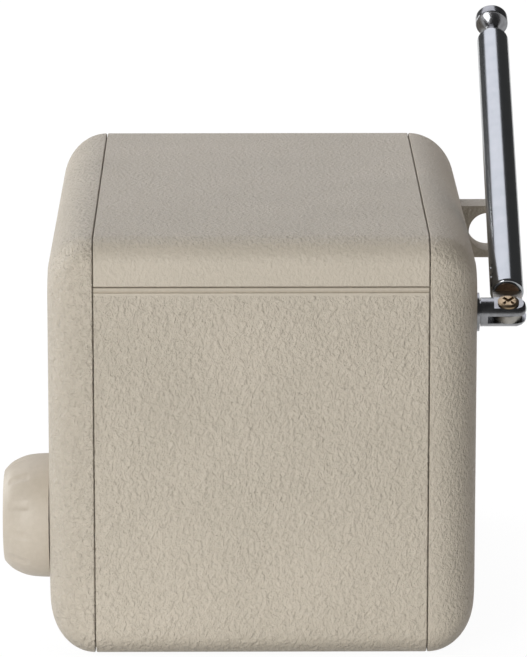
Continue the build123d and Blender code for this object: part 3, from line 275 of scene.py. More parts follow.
CLEAR = 1.0 * MM
SHAFT_HOLE_R = 4.5 * MM
BUTTON_GAP = 0.3 * MM
FRONT_IN = FRONT + FACE_WALL
FRONT_THROUGH = (FRONT - CLEAR, FRONT_IN + CLEAR)
BUTTONS = ("power_button", "volume_down_button", "volume_up_button")
BUTTON_R = 3.1 * MM
grille_at = middle("speaker_grille")
dial_at = middle("dial_bezel")
knob_at = middle("tuning_knob")
grille_r = across("speaker_grille", 0) / 2
cloth_r = across("speaker_cloth", 0) / 2
bezel_r = across("dial_bezel", 0) / 2
bezel_t = across("dial_bezel", 1)
lens_r = across("dial_lens", 0) / 2
front_cutters = [
    plug(grille_at.x, grille_at.z, (grille_r, FRONT - CLEAR, FRONT + bezel_t),
         (cloth_r, FRONT + bezel_t, FRONT_IN + CLEAR)),
    plug(dial_at.x, dial_at.z, (bezel_r, FRONT - CLEAR, FRONT + bezel_t),
         (lens_r, FRONT + bezel_t, FRONT_IN + CLEAR)),
    plug(knob_at.x, knob_at.z, (SHAFT_HOLE_R, *FRONT_THROUGH)),
    plug(middle("indicator_lens").x, middle("indicator_lens").z,
         (across("indicator_lens", 0) / 2, *FRONT_THROUGH), sides=32)]
button_hole = (BUTTON_R + BUTTON_GAP, *FRONT_THROUGH)
front_cutters += [plug(middle(name).x, middle(name).z, button_hole, sides=64) for name in BUTTONS]
front_mesh = cut(moulding("front_moulding", FRONT, 1, FRONT_SEAM), front_cutters)
place("front_moulding", front_mesh, front_grain, "case", "case_abs", "front_frame")

# Rear moulding: the same ABS cover for the back, with the battery opening, the sockets' openings, the
# antenna's hole and four deep screw holes.
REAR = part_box("rear_cover")[1][1]
REAR_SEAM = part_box("lower_shell")[1][1]
REAR_IN = REAR - FACE_WALL
REAR_THROUGH = (REAR_IN - CLEAR, REAR + CLEAR)
DOOR_GAP = 0.3 * MM
PIN_REACH = 1.3 * MM
SOCKET_GAP = 0.1 * MM
SOCKET_Z = middle("headphone_jack").z
JACK_NOSE_R = 2.9 * MM
INLET_W, INLET_H = 9.4 * MM, 3.7 * MM
SLIDE_TRAVEL = 4.0 * MM
SLOT_W, SLOT_H = 7.6 * MM, 3.0 * MM
BUSH_R = 4.0 * MM
SCREW_HEAD_R = 2.8 * MM
SCREW_GAP = 0.3 * MM
FOURTH_SCREW_X = 36.0 * MM
# The rear's finer grain is quiet: faint glints on an almost even face
fine_grain = grained_abs("moulded ABS, fine leather grain", ridge=0.4 * MM, depth=0.45 * MM)


def block(low, high):
    """Closed box between two corners."""
    corners = [(low[0], low[2]), (high[0], low[2]), (high[0], high[2]), (low[0], high[2])]
    return skin("block", [[Vector((x, y, z)) for x, z in corners] for y in (low[1], high[1])])


door_at = middle("battery_door")
door_half_w = across("battery_door", 0) / 2 - PIN_REACH
door_half_h = across("battery_door", 2) / 2 + DOOR_GAP
screw_low, screw_high = (Vector(corner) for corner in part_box("case_screws"))
screw_places = [(x, z) for z in (screw_low.z + SCREW_HEAD_R, screw_high.z - SCREW_HEAD_R)
                for x in (screw_low.x + SCREW_HEAD_R, screw_high.x - SCREW_HEAD_R)]
screw_places[3] = (FOURTH_SCREW_X, screw_places[3][1])
slot_x = middle("band_slider").x + SLIDE_TRAVEL / 2
inlet_x = middle("power_inlet").x
bush_at = middle("antenna_bush")
rear_cutters = [
    block((door_at.x - door_half_w, REAR_THROUGH[0], door_at.z - door_half_h),
          (door_at.x + door_half_w, REAR_THROUGH[1], door_at.z + door_half_h)),
    block((slot_x - SLOT_W / 2, REAR_THROUGH[0], SOCKET_Z - SLOT_H / 2),
          (slot_x + SLOT_W / 2, REAR_THROUGH[1], SOCKET_Z + SLOT_H / 2)),
    block((inlet_x - INLET_W / 2, REAR_THROUGH[0], SOCKET_Z - INLET_H / 2),
          (inlet_x + INLET_W / 2, REAR_THROUGH[1], SOCKET_Z + INLET_H / 2)),
    plug(middle("headphone_jack").x, SOCKET_Z, (JACK_NOSE_R + SOCKET_GAP, *REAR_THROUGH), sides=48),
    plug(bush_at.x, bush_at.z, (BUSH_R, *REAR_THROUGH), sides=64)]
screw_hole = (SCREW_HEAD_R + SCREW_GAP, *REAR_THROUGH)
rear_cutters += [plug(x, z, screw_hole, sides=48) for x, z in screw_places]
rear_mesh = cut(moulding("rear_moulding", REAR, -1, REAR_SEAM), rear_cutters)
place("rear_moulding", rear_mesh, fine_grain, "case", "case_abs", "rear_cover")

# Shells: a top cover over a U-shaped body, both ABS with a leather grain. A shadow line parts them
# at the sides, and a smooth undercut ledge runs along the top edge of the lower one.
SEAM = 0.24 * MM
SEAM_DEPTH = 1.0 * MM
LEDGE, LEDGE_STEP, LEDGE_LIP = 1.0 * MM, 0.42 * MM, 0.15 * MM
LEDGE_PLAIN = 0.5 * MM     # smooth strip under the ledge
GRAIN_FADE = 0.3 * MM
CALM_FROM, CALM_TO, CALM_SHARE = 0.2 * MM, 2.2 * MM, 0.4
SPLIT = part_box("lower_shell")[1][2]
EDGE_Z = SPLIT - SEAM
PLAIN_Z = EDGE_Z - LEDGE - LEDGE_PLAIN
# The top has a grain that calms down round its edge, and the body bold wrinkles that catch the light
cover_grain = grained_abs("moulded ABS, leather grain on the top", ridge=0.42 * MM, depth=0.45 * MM,
                          fade=(TOP - CALM_FROM, TOP - CALM_TO, CALM_SHARE))
ledge_grain = grained_abs("moulded ABS, bold leather grain under a smooth ledge", ridge=0.46 * MM,
                          depth=0.62 * MM, fade=(PLAIN_Z - GRAIN_FADE, PLAIN_Z, 0.0))


def arc(centre_x, centre_z, radius, start, end):
    """Points on a quarter turn between two angles in degrees, as (X, Z)."""
    turns = [radians(start + (end - start) * step / CORNER_STEPS) for step in range(CORNER_STEPS + 1)]
    return [(centre_x + radius * cos(turn), centre_z + radius * sin(turn)) for turn in turns]


def mirrored(chain):
    """A chain of points on the right, then the same on the left, back to where it began."""
    return chain + [(-x, z) for x, z in reversed(chain)]


def lower_section(y, inset, soft):
    """Outline of the lower shell at depth y: outside down and round, then the inside back."""
    out_x = HALF_W - inset
    ledge_x = out_x - (LEDGE_STEP if soft else 0)
    corner = (HALF_W - SIDE_R, BOTTOM + SIDE_R)
    outside = [(out_x - soft, EDGE_Z), (out_x, EDGE_Z - soft), (ledge_x, EDGE_Z - LEDGE),
               (out_x, EDGE_Z - LEDGE - LEDGE_LIP)] + arc(*corner, SIDE_R - inset, 0, -90)
    inside = [(HALF_W - SEAM_DEPTH, EDGE_Z), (HALF_W - SEAM_DEPTH, SPLIT), (HALF_W - WALL, SPLIT)]
    inside += arc(*corner, SIDE_R - WALL, 0, -90)
    outline = mirrored(outside) + [(-x, z) for x, z in inside] + list(reversed(inside))
    return [Vector((x, y, z)) for x, z in outline]


def upper_section(y, inset, soft):
    """Outline of the top cover at depth y."""
    out_x = HALF_W - inset
    corner = (HALF_W - SIDE_R, TOP - SIDE_R)
    outside = [(out_x - soft, SPLIT), (out_x, SPLIT + soft)] + arc(*corner, SIDE_R - inset, 0, 90)
    inside = [(HALF_W - WALL, SPLIT)] + arc(*corner, SIDE_R - WALL, 0, 90)
    outline = mirrored(outside) + [(-x, z) for x, z in inside] + list(reversed(inside))
    return [Vector((x, y, z)) for x, z in outline]


shell_stations = [(FRONT_SEAM, SEAM_DEPTH, 0), (FRONT_SEAM + SEAM, SEAM_DEPTH, 0),
                  (FRONT_SEAM + SEAM, SOFT_EDGE, SOFT_EDGE), (FRONT_SEAM + SEAM + SOFT_EDGE, 0, SOFT_EDGE),
                  (REAR_SEAM - SEAM - SOFT_EDGE, 0, SOFT_EDGE), (REAR_SEAM - SEAM, SOFT_EDGE, SOFT_EDGE),
                  (REAR_SEAM - SEAM, SEAM_DEPTH, 0), (REAR_SEAM, SEAM_DEPTH, 0)]
lower_mesh = skin("lower_shell_skin", [lower_section(*station) for station in shell_stations])
upper_mesh = skin("upper_shell_skin", [upper_section(*station) for station in shell_stations])
place("lower_shell_skin", lower_mesh, ledge_grain, "case", "case_abs", "lower_shell")
place("upper_shell_skin", upper_mesh, cover_grain, "case", "case_abs", "upper_shell")

# Feet and case screws: four moulded rubber pads set into the floor of the case, and four blackened steel
# screws deep in the rear moulding, with cross recesses.
def dress(material, *nodes):
    """Give CAD pieces whose shape is right their finish."""
    for name in nodes:
        part = frame["nodes"][name]
        if not part.material_slots:
            part.data.materials.append(material)
        for slot in part.material_slots:
            slot.material = material


def mottled(name, light, dark, patch, relief, **constants):
    """Finish whose colour wanders between two shades over patches of a real size, with a slight relief."""
    material, tree, shader = finish(name, **constants)
    where = add_node(tree, "TexCoord").outputs["Object"]
    noise = add_node(tree, "TexNoise", Vector=where, Scale=1 / patch, Detail=4.0, Roughness=0.6)
    shade = noise.outputs["Fac"]
    even = add_node(tree, "MapRange", Value=shade, From_Min=0.3, From_Max=0.7).outputs[0]
    colour = add_node(tree, "Mix", {"data_type": "RGBA"}, Factor=even, _6=linear(dark), _7=linear(light))
    tree.links.new(colour.outputs[2], shader.inputs["Base Color"])
    bump = add_node(tree, "Bump", Height=shade, Distance=relief, Strength=1.0)
    tree.links.new(bump.outputs[0], shader.inputs["Normal"])
    return material


# Matt rubber swallows light: nearly black, with a faint bloom and no shine
moulded_rubber = mottled("moulded rubber, matt", "#2A2928", "#1E1D1C",
                         patch=1.2 * MM, relief=0.03 * MM, Roughness=0.85)
# Oxide-blacked steel: dark grey with a low, oily shine
blackened_steel = mottled("blackened steel", "#2B2B2D", "#19191A",
                          patch=0.8 * MM, relief=0.01 * MM, Metallic=1.0, Roughness=0.45)
dress(moulded_rubber, "feet")
dress(blackened_steel, "case_screws")

# Loudspeaker grille: a steel disc punched with rings of round holes, in a rolled rim, powder coated in the
# colour of the case. It lies in a round recess of the front moulding.
HOLE_R = 0.9 * MM
HOLE_PITCH = 2.9 * MM
HOLE_RINGS = 8
PUNCHED_T = 1.4 * MM
RIM_W = 1.9 * MM
RIM_MID = grille_r - RIM_W / 2
# Powder coat flows out in a fine orange peel: even colour and a broken, soft shine
powder_coat = mottled("steel, powder coated beige", "#B6A996", "#A99B87",
                      patch=0.35 * MM, relief=0.02 * MM, Roughness=0.6)


def made_by_nodes(name, tree, **inputs):
    """Plain mesh that a Geometry Nodes tree makes with these inputs."""
    holder = bpy.data.objects.new(name, bpy.data.meshes.new(name))
    bpy.context.scene.collection.objects.link(holder)
    modifier = holder.modifiers.new("nodes", "NODES")
    modifier.node_group = tree
    for socket in tree.interface.items_tree:
        if socket.in_out == "INPUT":
            modifier[socket.identifier] = inputs[socket.name.replace(" ", "_")]
    bpy.context.view_layer.update()
    mesh = bpy.data.meshes.new_from_object(holder.evaluated_get(bpy.context.evaluated_depsgraph_get()))
    holder.modifiers.remove(modifier)
    bpy.data.objects.remove(holder)
    return mesh


def new_tree(name, floats, integers=()):
    """Empty Geometry Nodes tree with named inputs; gives the tree, its inputs and its end node."""
    tree = bpy.data.node_groups.new(name, "GeometryNodeTree")
    tree.interface.new_socket("Geometry", in_out="OUTPUT", socket_type="NodeSocketGeometry")
    for label in floats:
        tree.interface.new_socket(label, in_out="INPUT", socket_type="NodeSocketFloat")
    for label in integers:
        tree.interface.new_socket(label, in_out="INPUT", socket_type="NodeSocketInt")
    start = tree.nodes.new("NodeGroupInput").outputs
    return tree, start, tree.nodes.new("NodeGroupOutput").inputs[0]


punched, given, result = new_tree("punched_disc", ["Plate radius", "Hole radius", "Pitch", "Thickness"])
centre_spot = add_node(punched, "GeometryNodePoints")
spots = add_node(punched, "GeometryNodeJoinGeometry", Geometry=centre_spot.outputs[0])
for ring in range(1, HOLE_RINGS + 1):
    ring_r = add_node(punched, "Math", {"operation": "MULTIPLY"}, _0=given["Pitch"], _1=float(ring))
    row = add_node(punched, "GeometryNodeMeshCircle", Vertices=6 * ring, Radius=ring_r.outputs[0])
    punched.links.new(row.outputs[0], spots.inputs[0])
hole = add_node(punched, "GeometryNodeCurvePrimitiveCircle", Resolution=14, Radius=given["Hole radius"])
holes = add_node(punched, "GeometryNodeInstanceOnPoints", Points=spots.outputs[0], Instance=hole.outputs[0])
holes = add_node(punched, "GeometryNodeRealizeInstances", Geometry=holes.outputs[0])
edge = add_node(punched, "GeometryNodeCurvePrimitiveCircle", Resolution=128, Radius=given["Plate radius"])
lines = add_node(punched, "GeometryNodeJoinGeometry", Geometry=edge.outputs[0])
punched.links.new(holes.outputs[0], lines.inputs[0])
sheet = add_node(punched, "GeometryNodeFillCurve", Curve=lines.outputs[0])
raised = add_node(punched, "GeometryNodeExtrudeMesh", Mesh=sheet.outputs[0], Offset_Scale=given["Thickness"],
                  Individual=False)
under = add_node(punched, "GeometryNodeFlipFaces", Mesh=sheet.outputs[0])
whole = add_node(punched, "GeometryNodeJoinGeometry", Geometry=raised.outputs[0])
punched.links.new(under.outputs[0], whole.inputs[0])
whole = add_node(punched, "GeometryNodeMergeByDistance", Geometry=whole.outputs[0], Distance=WELD)
whole = add_node(punched, "GeometryNodeRealizeInstances", Geometry=whole.outputs[0])
coated = add_node(punched, "GeometryNodeSetMaterial", Geometry=whole.outputs[0], Material=powder_coat)
punched.links.new(coated.outputs[0], result)

grille_front, grille_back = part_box("speaker_grille")[0][1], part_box("speaker_grille")[1][1]
disc = made_by_nodes("grille_disc", punched, Plate_radius=RIM_MID, Hole_radius=HOLE_R,
                     Pitch=HOLE_PITCH, Thickness=PUNCHED_T)
for vertex in disc.vertices:
    vertex.co = (grille_at.x + vertex.co.x, grille_back - vertex.co.z, grille_at.z + vertex.co.y)
rim_arc = [(RIM_MID + RIM_W / 2 * cos(radians(turn)), grille_front + RIM_W / 2 * (1 - sin(radians(turn))))
           for turn in range(180, -1, -15)]
rim_loops = spun_loops([(grille_r - RIM_W, grille_back)] + rim_arc + [(grille_r, grille_back)],
                       (grille_at.x, 0, grille_at.z), (0, 1, 0), steps=128)
place("grille_disc", disc, powder_coat, "case", "grille_metal", "speaker_grille")
place("grille_rim", skin("grille_rim", rim_loops, wrap=True), powder_coat, "case", "grille_metal",
      "speaker_grille")

# Loudspeaker: dark woven cloth behind the grille, then a stamped basket with plate, ferrite ring and yoke,
# and the moving cone with its rubber surround, dust cap and coil of enamelled copper.
THREAD = 0.55 * MM
# Open weave of matt yarn: a dark ground with paler thread tops, drawn coarser than real so that it shows
acoustic_cloth, tree, shader = finish("acoustic cloth, plain weave", Roughness=0.95)
where = add_node(tree, "TexCoord").outputs["Object"]
BANDS = 0.314 / THREAD   # scale at which one band of the wave is one thread
warp_thread = add_node(tree, "TexWave", {"bands_direction": "X"}, Vector=where, Scale=BANDS)
weft_thread = add_node(tree, "TexWave", {"bands_direction": "Z"}, Vector=where, Scale=BANDS)
weave = add_node(tree, "Math", {"operation": "MULTIPLY"}, _0=warp_thread.outputs["Fac"],
                 _1=weft_thread.outputs["Fac"]).outputs[0]
colour = add_node(tree, "Mix", {"data_type": "RGBA"}, Factor=weave, _6=linear("#191715"),
                  _7=linear("#3B3733"))
tree.links.new(colour.outputs[2], shader.inputs["Base Color"])
bump = add_node(tree, "Bump", Height=weave, Distance=0.1 * MM)
tree.links.new(bump.outputs[0], shader.inputs["Normal"])
# Zinc plate: pale grey metal, faintly clouded, with a blurred shine
zinc_steel = mottled("stamped steel, zinc plated", "#A9ABAD", "#8E9194",
                     patch=2.5 * MM, relief=0.005 * MM, Metallic=1.0, Roughness=0.38)
# Sintered ferrite: dull charcoal, slightly gritty like a ceramic
sintered_ferrite = mottled("sintered ferrite", "#3A3A3C", "#2A2A2C",
                           patch=0.6 * MM, relief=0.02 * MM, Roughness=0.7)
# Pressed pulp: black, dry and fibrous, with no shine
pressed_paper = mottled("pressed paper, black", "#2B2A29", "#1F1E1D",
                        patch=0.7 * MM, relief=0.04 * MM, Roughness=0.9)
# Enamelled copper: warm red-brown turns that glint where they lie side by side
copper_wire = mottled("enamelled copper wire", "#B4683A", "#8A4A26",
                      patch=0.3 * MM, relief=0.02 * MM, Metallic=1.0, Roughness=0.35)
dress(acoustic_cloth, "speaker_cloth")
dress(zinc_steel, "speaker_basket", "speaker_top_plate", "speaker_yoke")
dress(sintered_ferrite, "speaker_magnet")
dress(pressed_paper, "speaker_cone", "dust_cap")
dress(moulded_rubber, "speaker_surround")
dress(copper_wire, "voice_coil")

# Dial: a satin ABS bezel flush in the front, a clear acrylic window, and a cream plate printed with a scale.
# A red pointer turns over the plate on a steel shaft, driven by a nylon drum and a braided cord.
BEZEL_EDGE = 0.3 * MM
SMEAR = 6.25 * MM
# Satin ABS from a vapour-blasted mould: the case colour, smoother, with a soft broad highlight
satin_abs = mottled("moulded ABS, satin", "#BDB3A4", "#B6AC9C",
                    patch=1.5 * MM, relief=0.006 * MM, Roughness=0.42)
bezel_outline = [(lens_r, FRONT + bezel_t), (lens_r, FRONT + 2 * BEZEL_EDGE),
                 (lens_r + 2 * BEZEL_EDGE, FRONT), (bezel_r - BEZEL_EDGE, FRONT),
                 (bezel_r, FRONT + BEZEL_EDGE), (bezel_r, FRONT + bezel_t)]
bezel_loops = spun_loops(bezel_outline, (dial_at.x, 0, dial_at.z), (0, 1, 0), steps=128)
place("dial_bezel_ring", skin("dial_bezel_ring", bezel_loops, wrap=True), satin_abs, "case", "control_abs",
      "dial_bezel")
# Clear acrylic: see-through and glossy, with faint smears that blur its reflections in places
clear_acrylic, tree, shader = finish("clear acrylic", Base_Color=linear("#F4F7F7"), Transmission_Weight=1.0,
                                     IOR=1.49)
where = add_node(tree, "TexCoord").outputs["Object"]
smear = add_node(tree, "TexNoise", Vector=where, Scale=1 / SMEAR, Detail=3.0).outputs["Fac"]
smear = add_node(tree, "MapRange", Value=smear, To_Min=0.01, To_Max=0.06).outputs[0]
tree.links.new(smear, shader.inputs["Roughness"])
# Printed plate: warm off-white, almost even, with a dull sheen
cream_card = mottled("printed plate, cream", "#EFE6D0", "#E7DCC3",
                     patch=3.0 * MM, relief=0.004 * MM, Roughness=0.55)
# Self-coloured plastic: a clear red with a small sharp highlight
red_plastic = mottled("moulded plastic, red", "#B3301F", "#A32A1B",
                      patch=1.5 * MM, relief=0.004 * MM, Roughness=0.3)
# Natural nylon: milky white and slightly waxy
white_nylon = mottled("moulded nylon, natural", "#DEDACD", "#D2CDBE",
                      patch=2.0 * MM, relief=0.006 * MM, Roughness=0.5)
# Braided yarn: pale, matt and finely knobbly
braided_cord = mottled("braided cord", "#D9D2BC", "#A79F88",
                       patch=0.4 * MM, relief=0.06 * MM, Roughness=0.9)
dress(clear_acrylic, "dial_lens")
dress(cream_card, "dial_plate")
dress(red_plastic, "dial_pointer")
dress(zinc_steel, "dial_shaft")
dress(white_nylon, "dial_drum")
dress(braided_cord, "dial_cord")

# Scale of the dial: fine ticks and plain numbers along half a turn, in dark ink. It is screen printed on
# the plate, so it stands only a film's thickness above it.
INK_T = 0.05 * MM
TICKS = 41
TICK_IN, TICK_L, TICK_W = 9.8 * MM, 1.1 * MM, 0.16 * MM
MAIN_TICK_L, MAIN_TICK_W = 1.9 * MM, 0.28 * MM
NUMBER_R, NUMBER_H = 7.9 * MM, 2.0 * MM
NUMBERS = (88, 92, 96, 100, 104, 108)
SWEEP = radians(180)
plate_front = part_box("dial_plate")[0][1]
# Printing ink sits as a thin even film, so it reads as flat dark brown with barely worn edges
dark_ink = mottled("printing ink, dark brown", "#3A2E25", "#31271F",
                   patch=0.5 * MM, relief=0.002 * MM, Roughness=0.6)
ticks, given, result = new_tree("dial_ticks", ["Reach", "Length", "Width", "Thickness", "Start", "Step"],
                                ["Count"])
number = add_node(ticks, "GeometryNodeInputIndex").outputs[0]
turn = add_node(ticks, "Math", {"operation": "MULTIPLY_ADD"}, _0=number, _1=given["Step"], _2=given["Start"])
lean = add_node(ticks, "CombineXYZ", Y=turn.outputs[0])
tick_size = add_node(ticks, "CombineXYZ", X=given["Width"], Y=given["Thickness"], Z=given["Length"])
tick = add_node(ticks, "GeometryNodeMeshCube", Size=tick_size.outputs[0])
way_out = add_node(ticks, "CombineXYZ", Z=given["Reach"])
tick = add_node(ticks, "GeometryNodeTransform", Geometry=tick.outputs[0], Translation=way_out.outputs[0])
spots = add_node(ticks, "GeometryNodePoints", Count=given["Count"])
fan = add_node(ticks, "GeometryNodeInstanceOnPoints", Points=spots.outputs[0], Instance=tick.outputs[0],
               Rotation=lean.outputs[0])
fan = add_node(ticks, "GeometryNodeRealizeInstances", Geometry=fan.outputs[0])
inked = add_node(ticks, "GeometryNodeSetMaterial", Geometry=fan.outputs[0], Material=dark_ink)
ticks.links.new(inked.outputs[0], result)
for name, count, length, width in (("dial_scale", TICKS, TICK_L, TICK_W),
                                   ("dial_scale_main", len(NUMBERS), MAIN_TICK_L, MAIN_TICK_W)):
    scale_mesh = made_by_nodes(name, ticks, Reach=TICK_IN + length / 2, Length=length, Width=width,
                               Thickness=INK_T, Start=-SWEEP / 2, Step=SWEEP / (count - 1), Count=count)
    for vertex in scale_mesh.vertices:
        vertex.co += Vector((dial_at.x, plate_front - INK_T / 2, dial_at.z))
    place(name, scale_mesh, dark_ink, "case", "dial_card")
for place_no, value in enumerate(NUMBERS):
    text = bpy.data.curves.new("number", "FONT")
    text.body = str(value)
    text.size = NUMBER_H
    text.align_x = "CENTER"
    text.align_y = "CENTER"
    text.extrude = INK_T / 2
    holder = bpy.data.objects.new("number", text)
    bpy.context.scene.collection.objects.link(holder)
    bpy.context.view_layer.update()
    letters = bpy.data.meshes.new_from_object(holder.evaluated_get(bpy.context.evaluated_depsgraph_get()))
    bpy.data.objects.remove(holder)
    turn = SWEEP * (place_no / (len(NUMBERS) - 1) - 0.5)
    for vertex in letters.vertices:
        x, z, lift = vertex.co
        vertex.co = (dial_at.x + NUMBER_R * sin(turn) + x, plate_front - INK_T / 2 - lift,
                     dial_at.z + NUMBER_R * cos(turn) + z)
    place(f"dial_number_{value}", letters, dark_ink, "case", "dial_card")

# Tuner: a plated chassis plate with the variable capacitor, and the brass bush and shaft of the tuning
# control with its grooved nylon pulley.
dress(zinc_steel, "tuner_chassis")
dress(white_nylon, "tuning_capacitor", "drive_pulley")
# Turned brass, a little dulled: yellow metal with browner patches
turned_brass = mottled("turned brass", "#A8957A", "#7A6850",
                       patch=0.9 * MM, relief=0.01 * MM, Metallic=1.0, Roughness=0.3)
dress(turned_brass, "tuning_bush", "tuning_shaft")

# Tuning knob: a domed cap of satin ABS pushed on the shaft, with a flat face, a plain rim, twelve shallow
# flutes for the fingers and a smooth skirt.
FLUTES = 12
FLUTE_TURN = radians(-6.3)
FLUTE_HALF = 1.05 * MM
FLUTE_DEEP = 0.24 * MM
FLUTE_START, FLUTE_END, FLUTE_FADE = 0.9 * MM, 5.9 * MM, 1.0 * MM
FLUTE_MIN_R = 9.5 * MM
KNOB_STEPS = 432
CURVE_STEPS = 5
KNOB_FACE = (0, 0)
KNOB_OUTSIDE = [(8.9, 0), (9.4, 0.08), (9.75, 0.3), (10.25, 0.75), (10.8, 1.3), (11.25, 1.85), (11.65, 2.5),
                (12.0, 3.2), (12.32, 3.95), (12.58, 4.75), (12.77, 5.6), (12.9, 6.5), (12.98, 7.5),
                (13.03, 8.5), (13.05, 9.4)]
KNOB_INSIDE = [(13.05, 9.75), (10.9, 9.75), (10.9, 3.4), (3.0, 3.4), (3.0, 9.75), (0, 9.75)]
knob_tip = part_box("tuning_knob")[0][1]


def smooth_step(low, high, value):
    """0 below low, 1 above high, and a soft rise between."""
    share = min(max((value - low) / (high - low), 0), 1)
    return share * share * (3 - 2 * share)


def curve_through(points):
    """Smooth curve through a row of points, with a straight first and last stretch."""
    fine = []
    last = len(points) - 2
    for i in range(last + 1):
        here, there = points[i], points[i + 1]
        before = points[i - 1] if 0 < i < last else here * 2 - there
        after = points[i + 2] if 0 < i < last else there * 2 - here
        for step in range(CURVE_STEPS):
            t = step / CURVE_STEPS
            bend = (before * 2 - here * 5 + there * 4 - after) * t ** 2
            bend += (here * 3 - before - there * 3 + after) * t ** 3
            fine.append((here * 2 + (there - before) * t + bend) / 2)
    return fine + [points[-1]]


face, outside, inside = ([Vector((r * MM, d * MM)) for r, d in points]
                         for points in ([KNOB_FACE], KNOB_OUTSIDE, KNOB_INSIDE))
knob_loops = []
for radius, along in face + curve_through(outside) + inside:
    on_side = smooth_step(FLUTE_START, FLUTE_START + FLUTE_FADE, along)
    on_side *= 1 - smooth_step(FLUTE_END - FLUTE_FADE, FLUTE_END, along)
    on_side *= radius > FLUTE_MIN_R
    loop = []
    for step in range(KNOB_STEPS):
        turn = 2 * pi * step / KNOB_STEPS
        local = (turn - FLUTE_TURN + pi / FLUTES) % (2 * pi / FLUTES) - pi / FLUTES
        share = 1 - (local * radius / FLUTE_HALF) ** 2
        deep = FLUTE_DEEP * on_side * max(share, 0)
        loop.append(Vector((knob_at.x + (radius - deep) * cos(turn), knob_tip + along,
                            knob_at.z + (radius - deep) * sin(turn))))
    knob_loops.append(loop)
# Knob ABS: the case colour, a little paler and smoother, so its dome shades evenly
knob_abs = mottled("moulded ABS, knob satin", "#BFB5A6", "#B9AF9F",
                   patch=1.2 * MM, relief=0.01 * MM, Roughness=0.5)
place("tuning_knob_cap", skin("tuning_knob_cap", knob_loops), knob_abs, "knob", "control_abs", "tuning_knob",
      sharp=50)

# Push buttons: three satin ABS caps with dished tops and raised marks, over switches on a small board, and
# the clear pin of the indicator beside them.
BUTTON_EDGE = 0.5 * MM
DISH = 0.25 * MM
DISH_OUTLINE = ((0, DISH), (1.55 * MM, 0.18 * MM), (2.4 * MM, 0.025 * MM))
MARK_T, MARK_BASE = 0.15 * MM, 0.075 * MM
MARK_L, MARK_W = 2.6 * MM, 0.5 * MM
RING_IN, RING_OUT = 0.832 * MM, 1.3 * MM
BUTTON_FLANGE_R = 3.9 * MM
MARKS = ("ring", "minus", "plus")


def bar(x, y, z, wide, thick, high):
    """Small block with its middle at x and z and its front at y."""
    return block((x - wide / 2, y, z - high / 2), (x + wide / 2, y + thick, z + high / 2))


def rounded_edge(radius, face, edge, way=1, first=0):
    """Outline points round an outer edge, from its face at a distance to its side at a radius."""
    turns = [radians(turn) for turn in range(first, 91, 15)]
    return [(radius - edge * (1 - sin(turn)), face + way * edge * (1 - cos(turn))) for turn in turns]


for name, mark in zip(BUTTONS, MARKS):
    at = middle(name)
    tip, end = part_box(name)[0][1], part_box(name)[1][1]
    cap = [(radius, tip + deep) for radius, deep in DISH_OUTLINE]
    cap += rounded_edge(BUTTON_R, tip, BUTTON_EDGE)
    cap += [(BUTTON_R, FRONT_IN + BUTTON_GAP), (BUTTON_FLANGE_R, FRONT_IN + BUTTON_GAP),
            (BUTTON_FLANGE_R, end), (0, end)]
    body = name.replace("_button", "")
    cap_mesh = skin(name + "_cap", spun_loops(cap, (at.x, 0, at.z), (0, 1, 0), steps=72))
    place(name + "_cap", cap_mesh, satin_abs, body, "control_abs", name)
    mark_front = tip + MARK_BASE - MARK_T
    mark_back = tip + MARK_BASE + DISH
    if mark == "ring":
        ring_outline = [(RING_IN, mark_back), (RING_IN, mark_front), (RING_OUT, mark_front),
                        (RING_OUT, mark_back)]
        ring_loops = spun_loops(ring_outline, (at.x, 0, at.z), (0, 1, 0), steps=48)
        shapes = [skin("ring", ring_loops, wrap=True)]
    else:
        shapes = [bar(at.x, mark_front, at.z, MARK_L, MARK_T + DISH, MARK_W)]
        if mark == "plus":
            shapes.append(bar(at.x, mark_front, at.z, MARK_W, MARK_T + DISH, MARK_L))
    for count, shape in enumerate(shapes):
        place(f"{name}_mark_{count}", shape, dark_ink, body, "control_abs")
# Solder mask: deep green lacquer, glossy and slightly uneven
solder_mask = mottled("circuit board, green solder mask", "#1F6B3C", "#175430",
                      patch=1.8 * MM, relief=0.01 * MM, Roughness=0.3)
# Black nylon: near black with a soft, waxy shine
black_nylon = mottled("moulded nylon, black", "#222222", "#191919",
                      patch=1.0 * MM, relief=0.01 * MM, Roughness=0.5)
dress(solder_mask, "button_board", "main_board")
dress(black_nylon, "button_switches")
dress(clear_acrylic, "indicator_lens")

# Main board and sockets: moulded chips and cans on the board, zinc-plated screws, a nylon headphone socket
# and slide switch, and a folded steel power inlet at the rear edge.
dress(zinc_steel, "inner_screws", "power_inlet")
dress(black_nylon, "headphone_jack", "band_switch", "band_slider")
# Moulded epoxy: near black, fine and dull
chip_black = mottled("moulded epoxy, black", "#262729", "#1A1B1C",
                     patch=0.5 * MM, relief=0.01 * MM, Roughness=0.55)
dress(chip_black, "board_parts")

# Battery bay: a black nylon tray with two plain sleeved cells between brass plates and leaf springs, closed
# by a hinged ABS door with a finger grip.
CAD_WELD = 0.002 * MM
FLAT_WITHIN = radians(0.2)
dress(black_nylon, "battery_tray")
dress(turned_brass, "battery_contacts")
# Metallised shrink sleeve: slate grey with a smooth, slightly metallic shine
cell_sleeve = mottled("metallised shrink sleeve, slate", "#4A5058", "#3E444C",
                      patch=6.0 * MM, relief=0.003 * MM, Metallic=0.6, Roughness=0.35)
dress(cell_sleeve, "batteries")


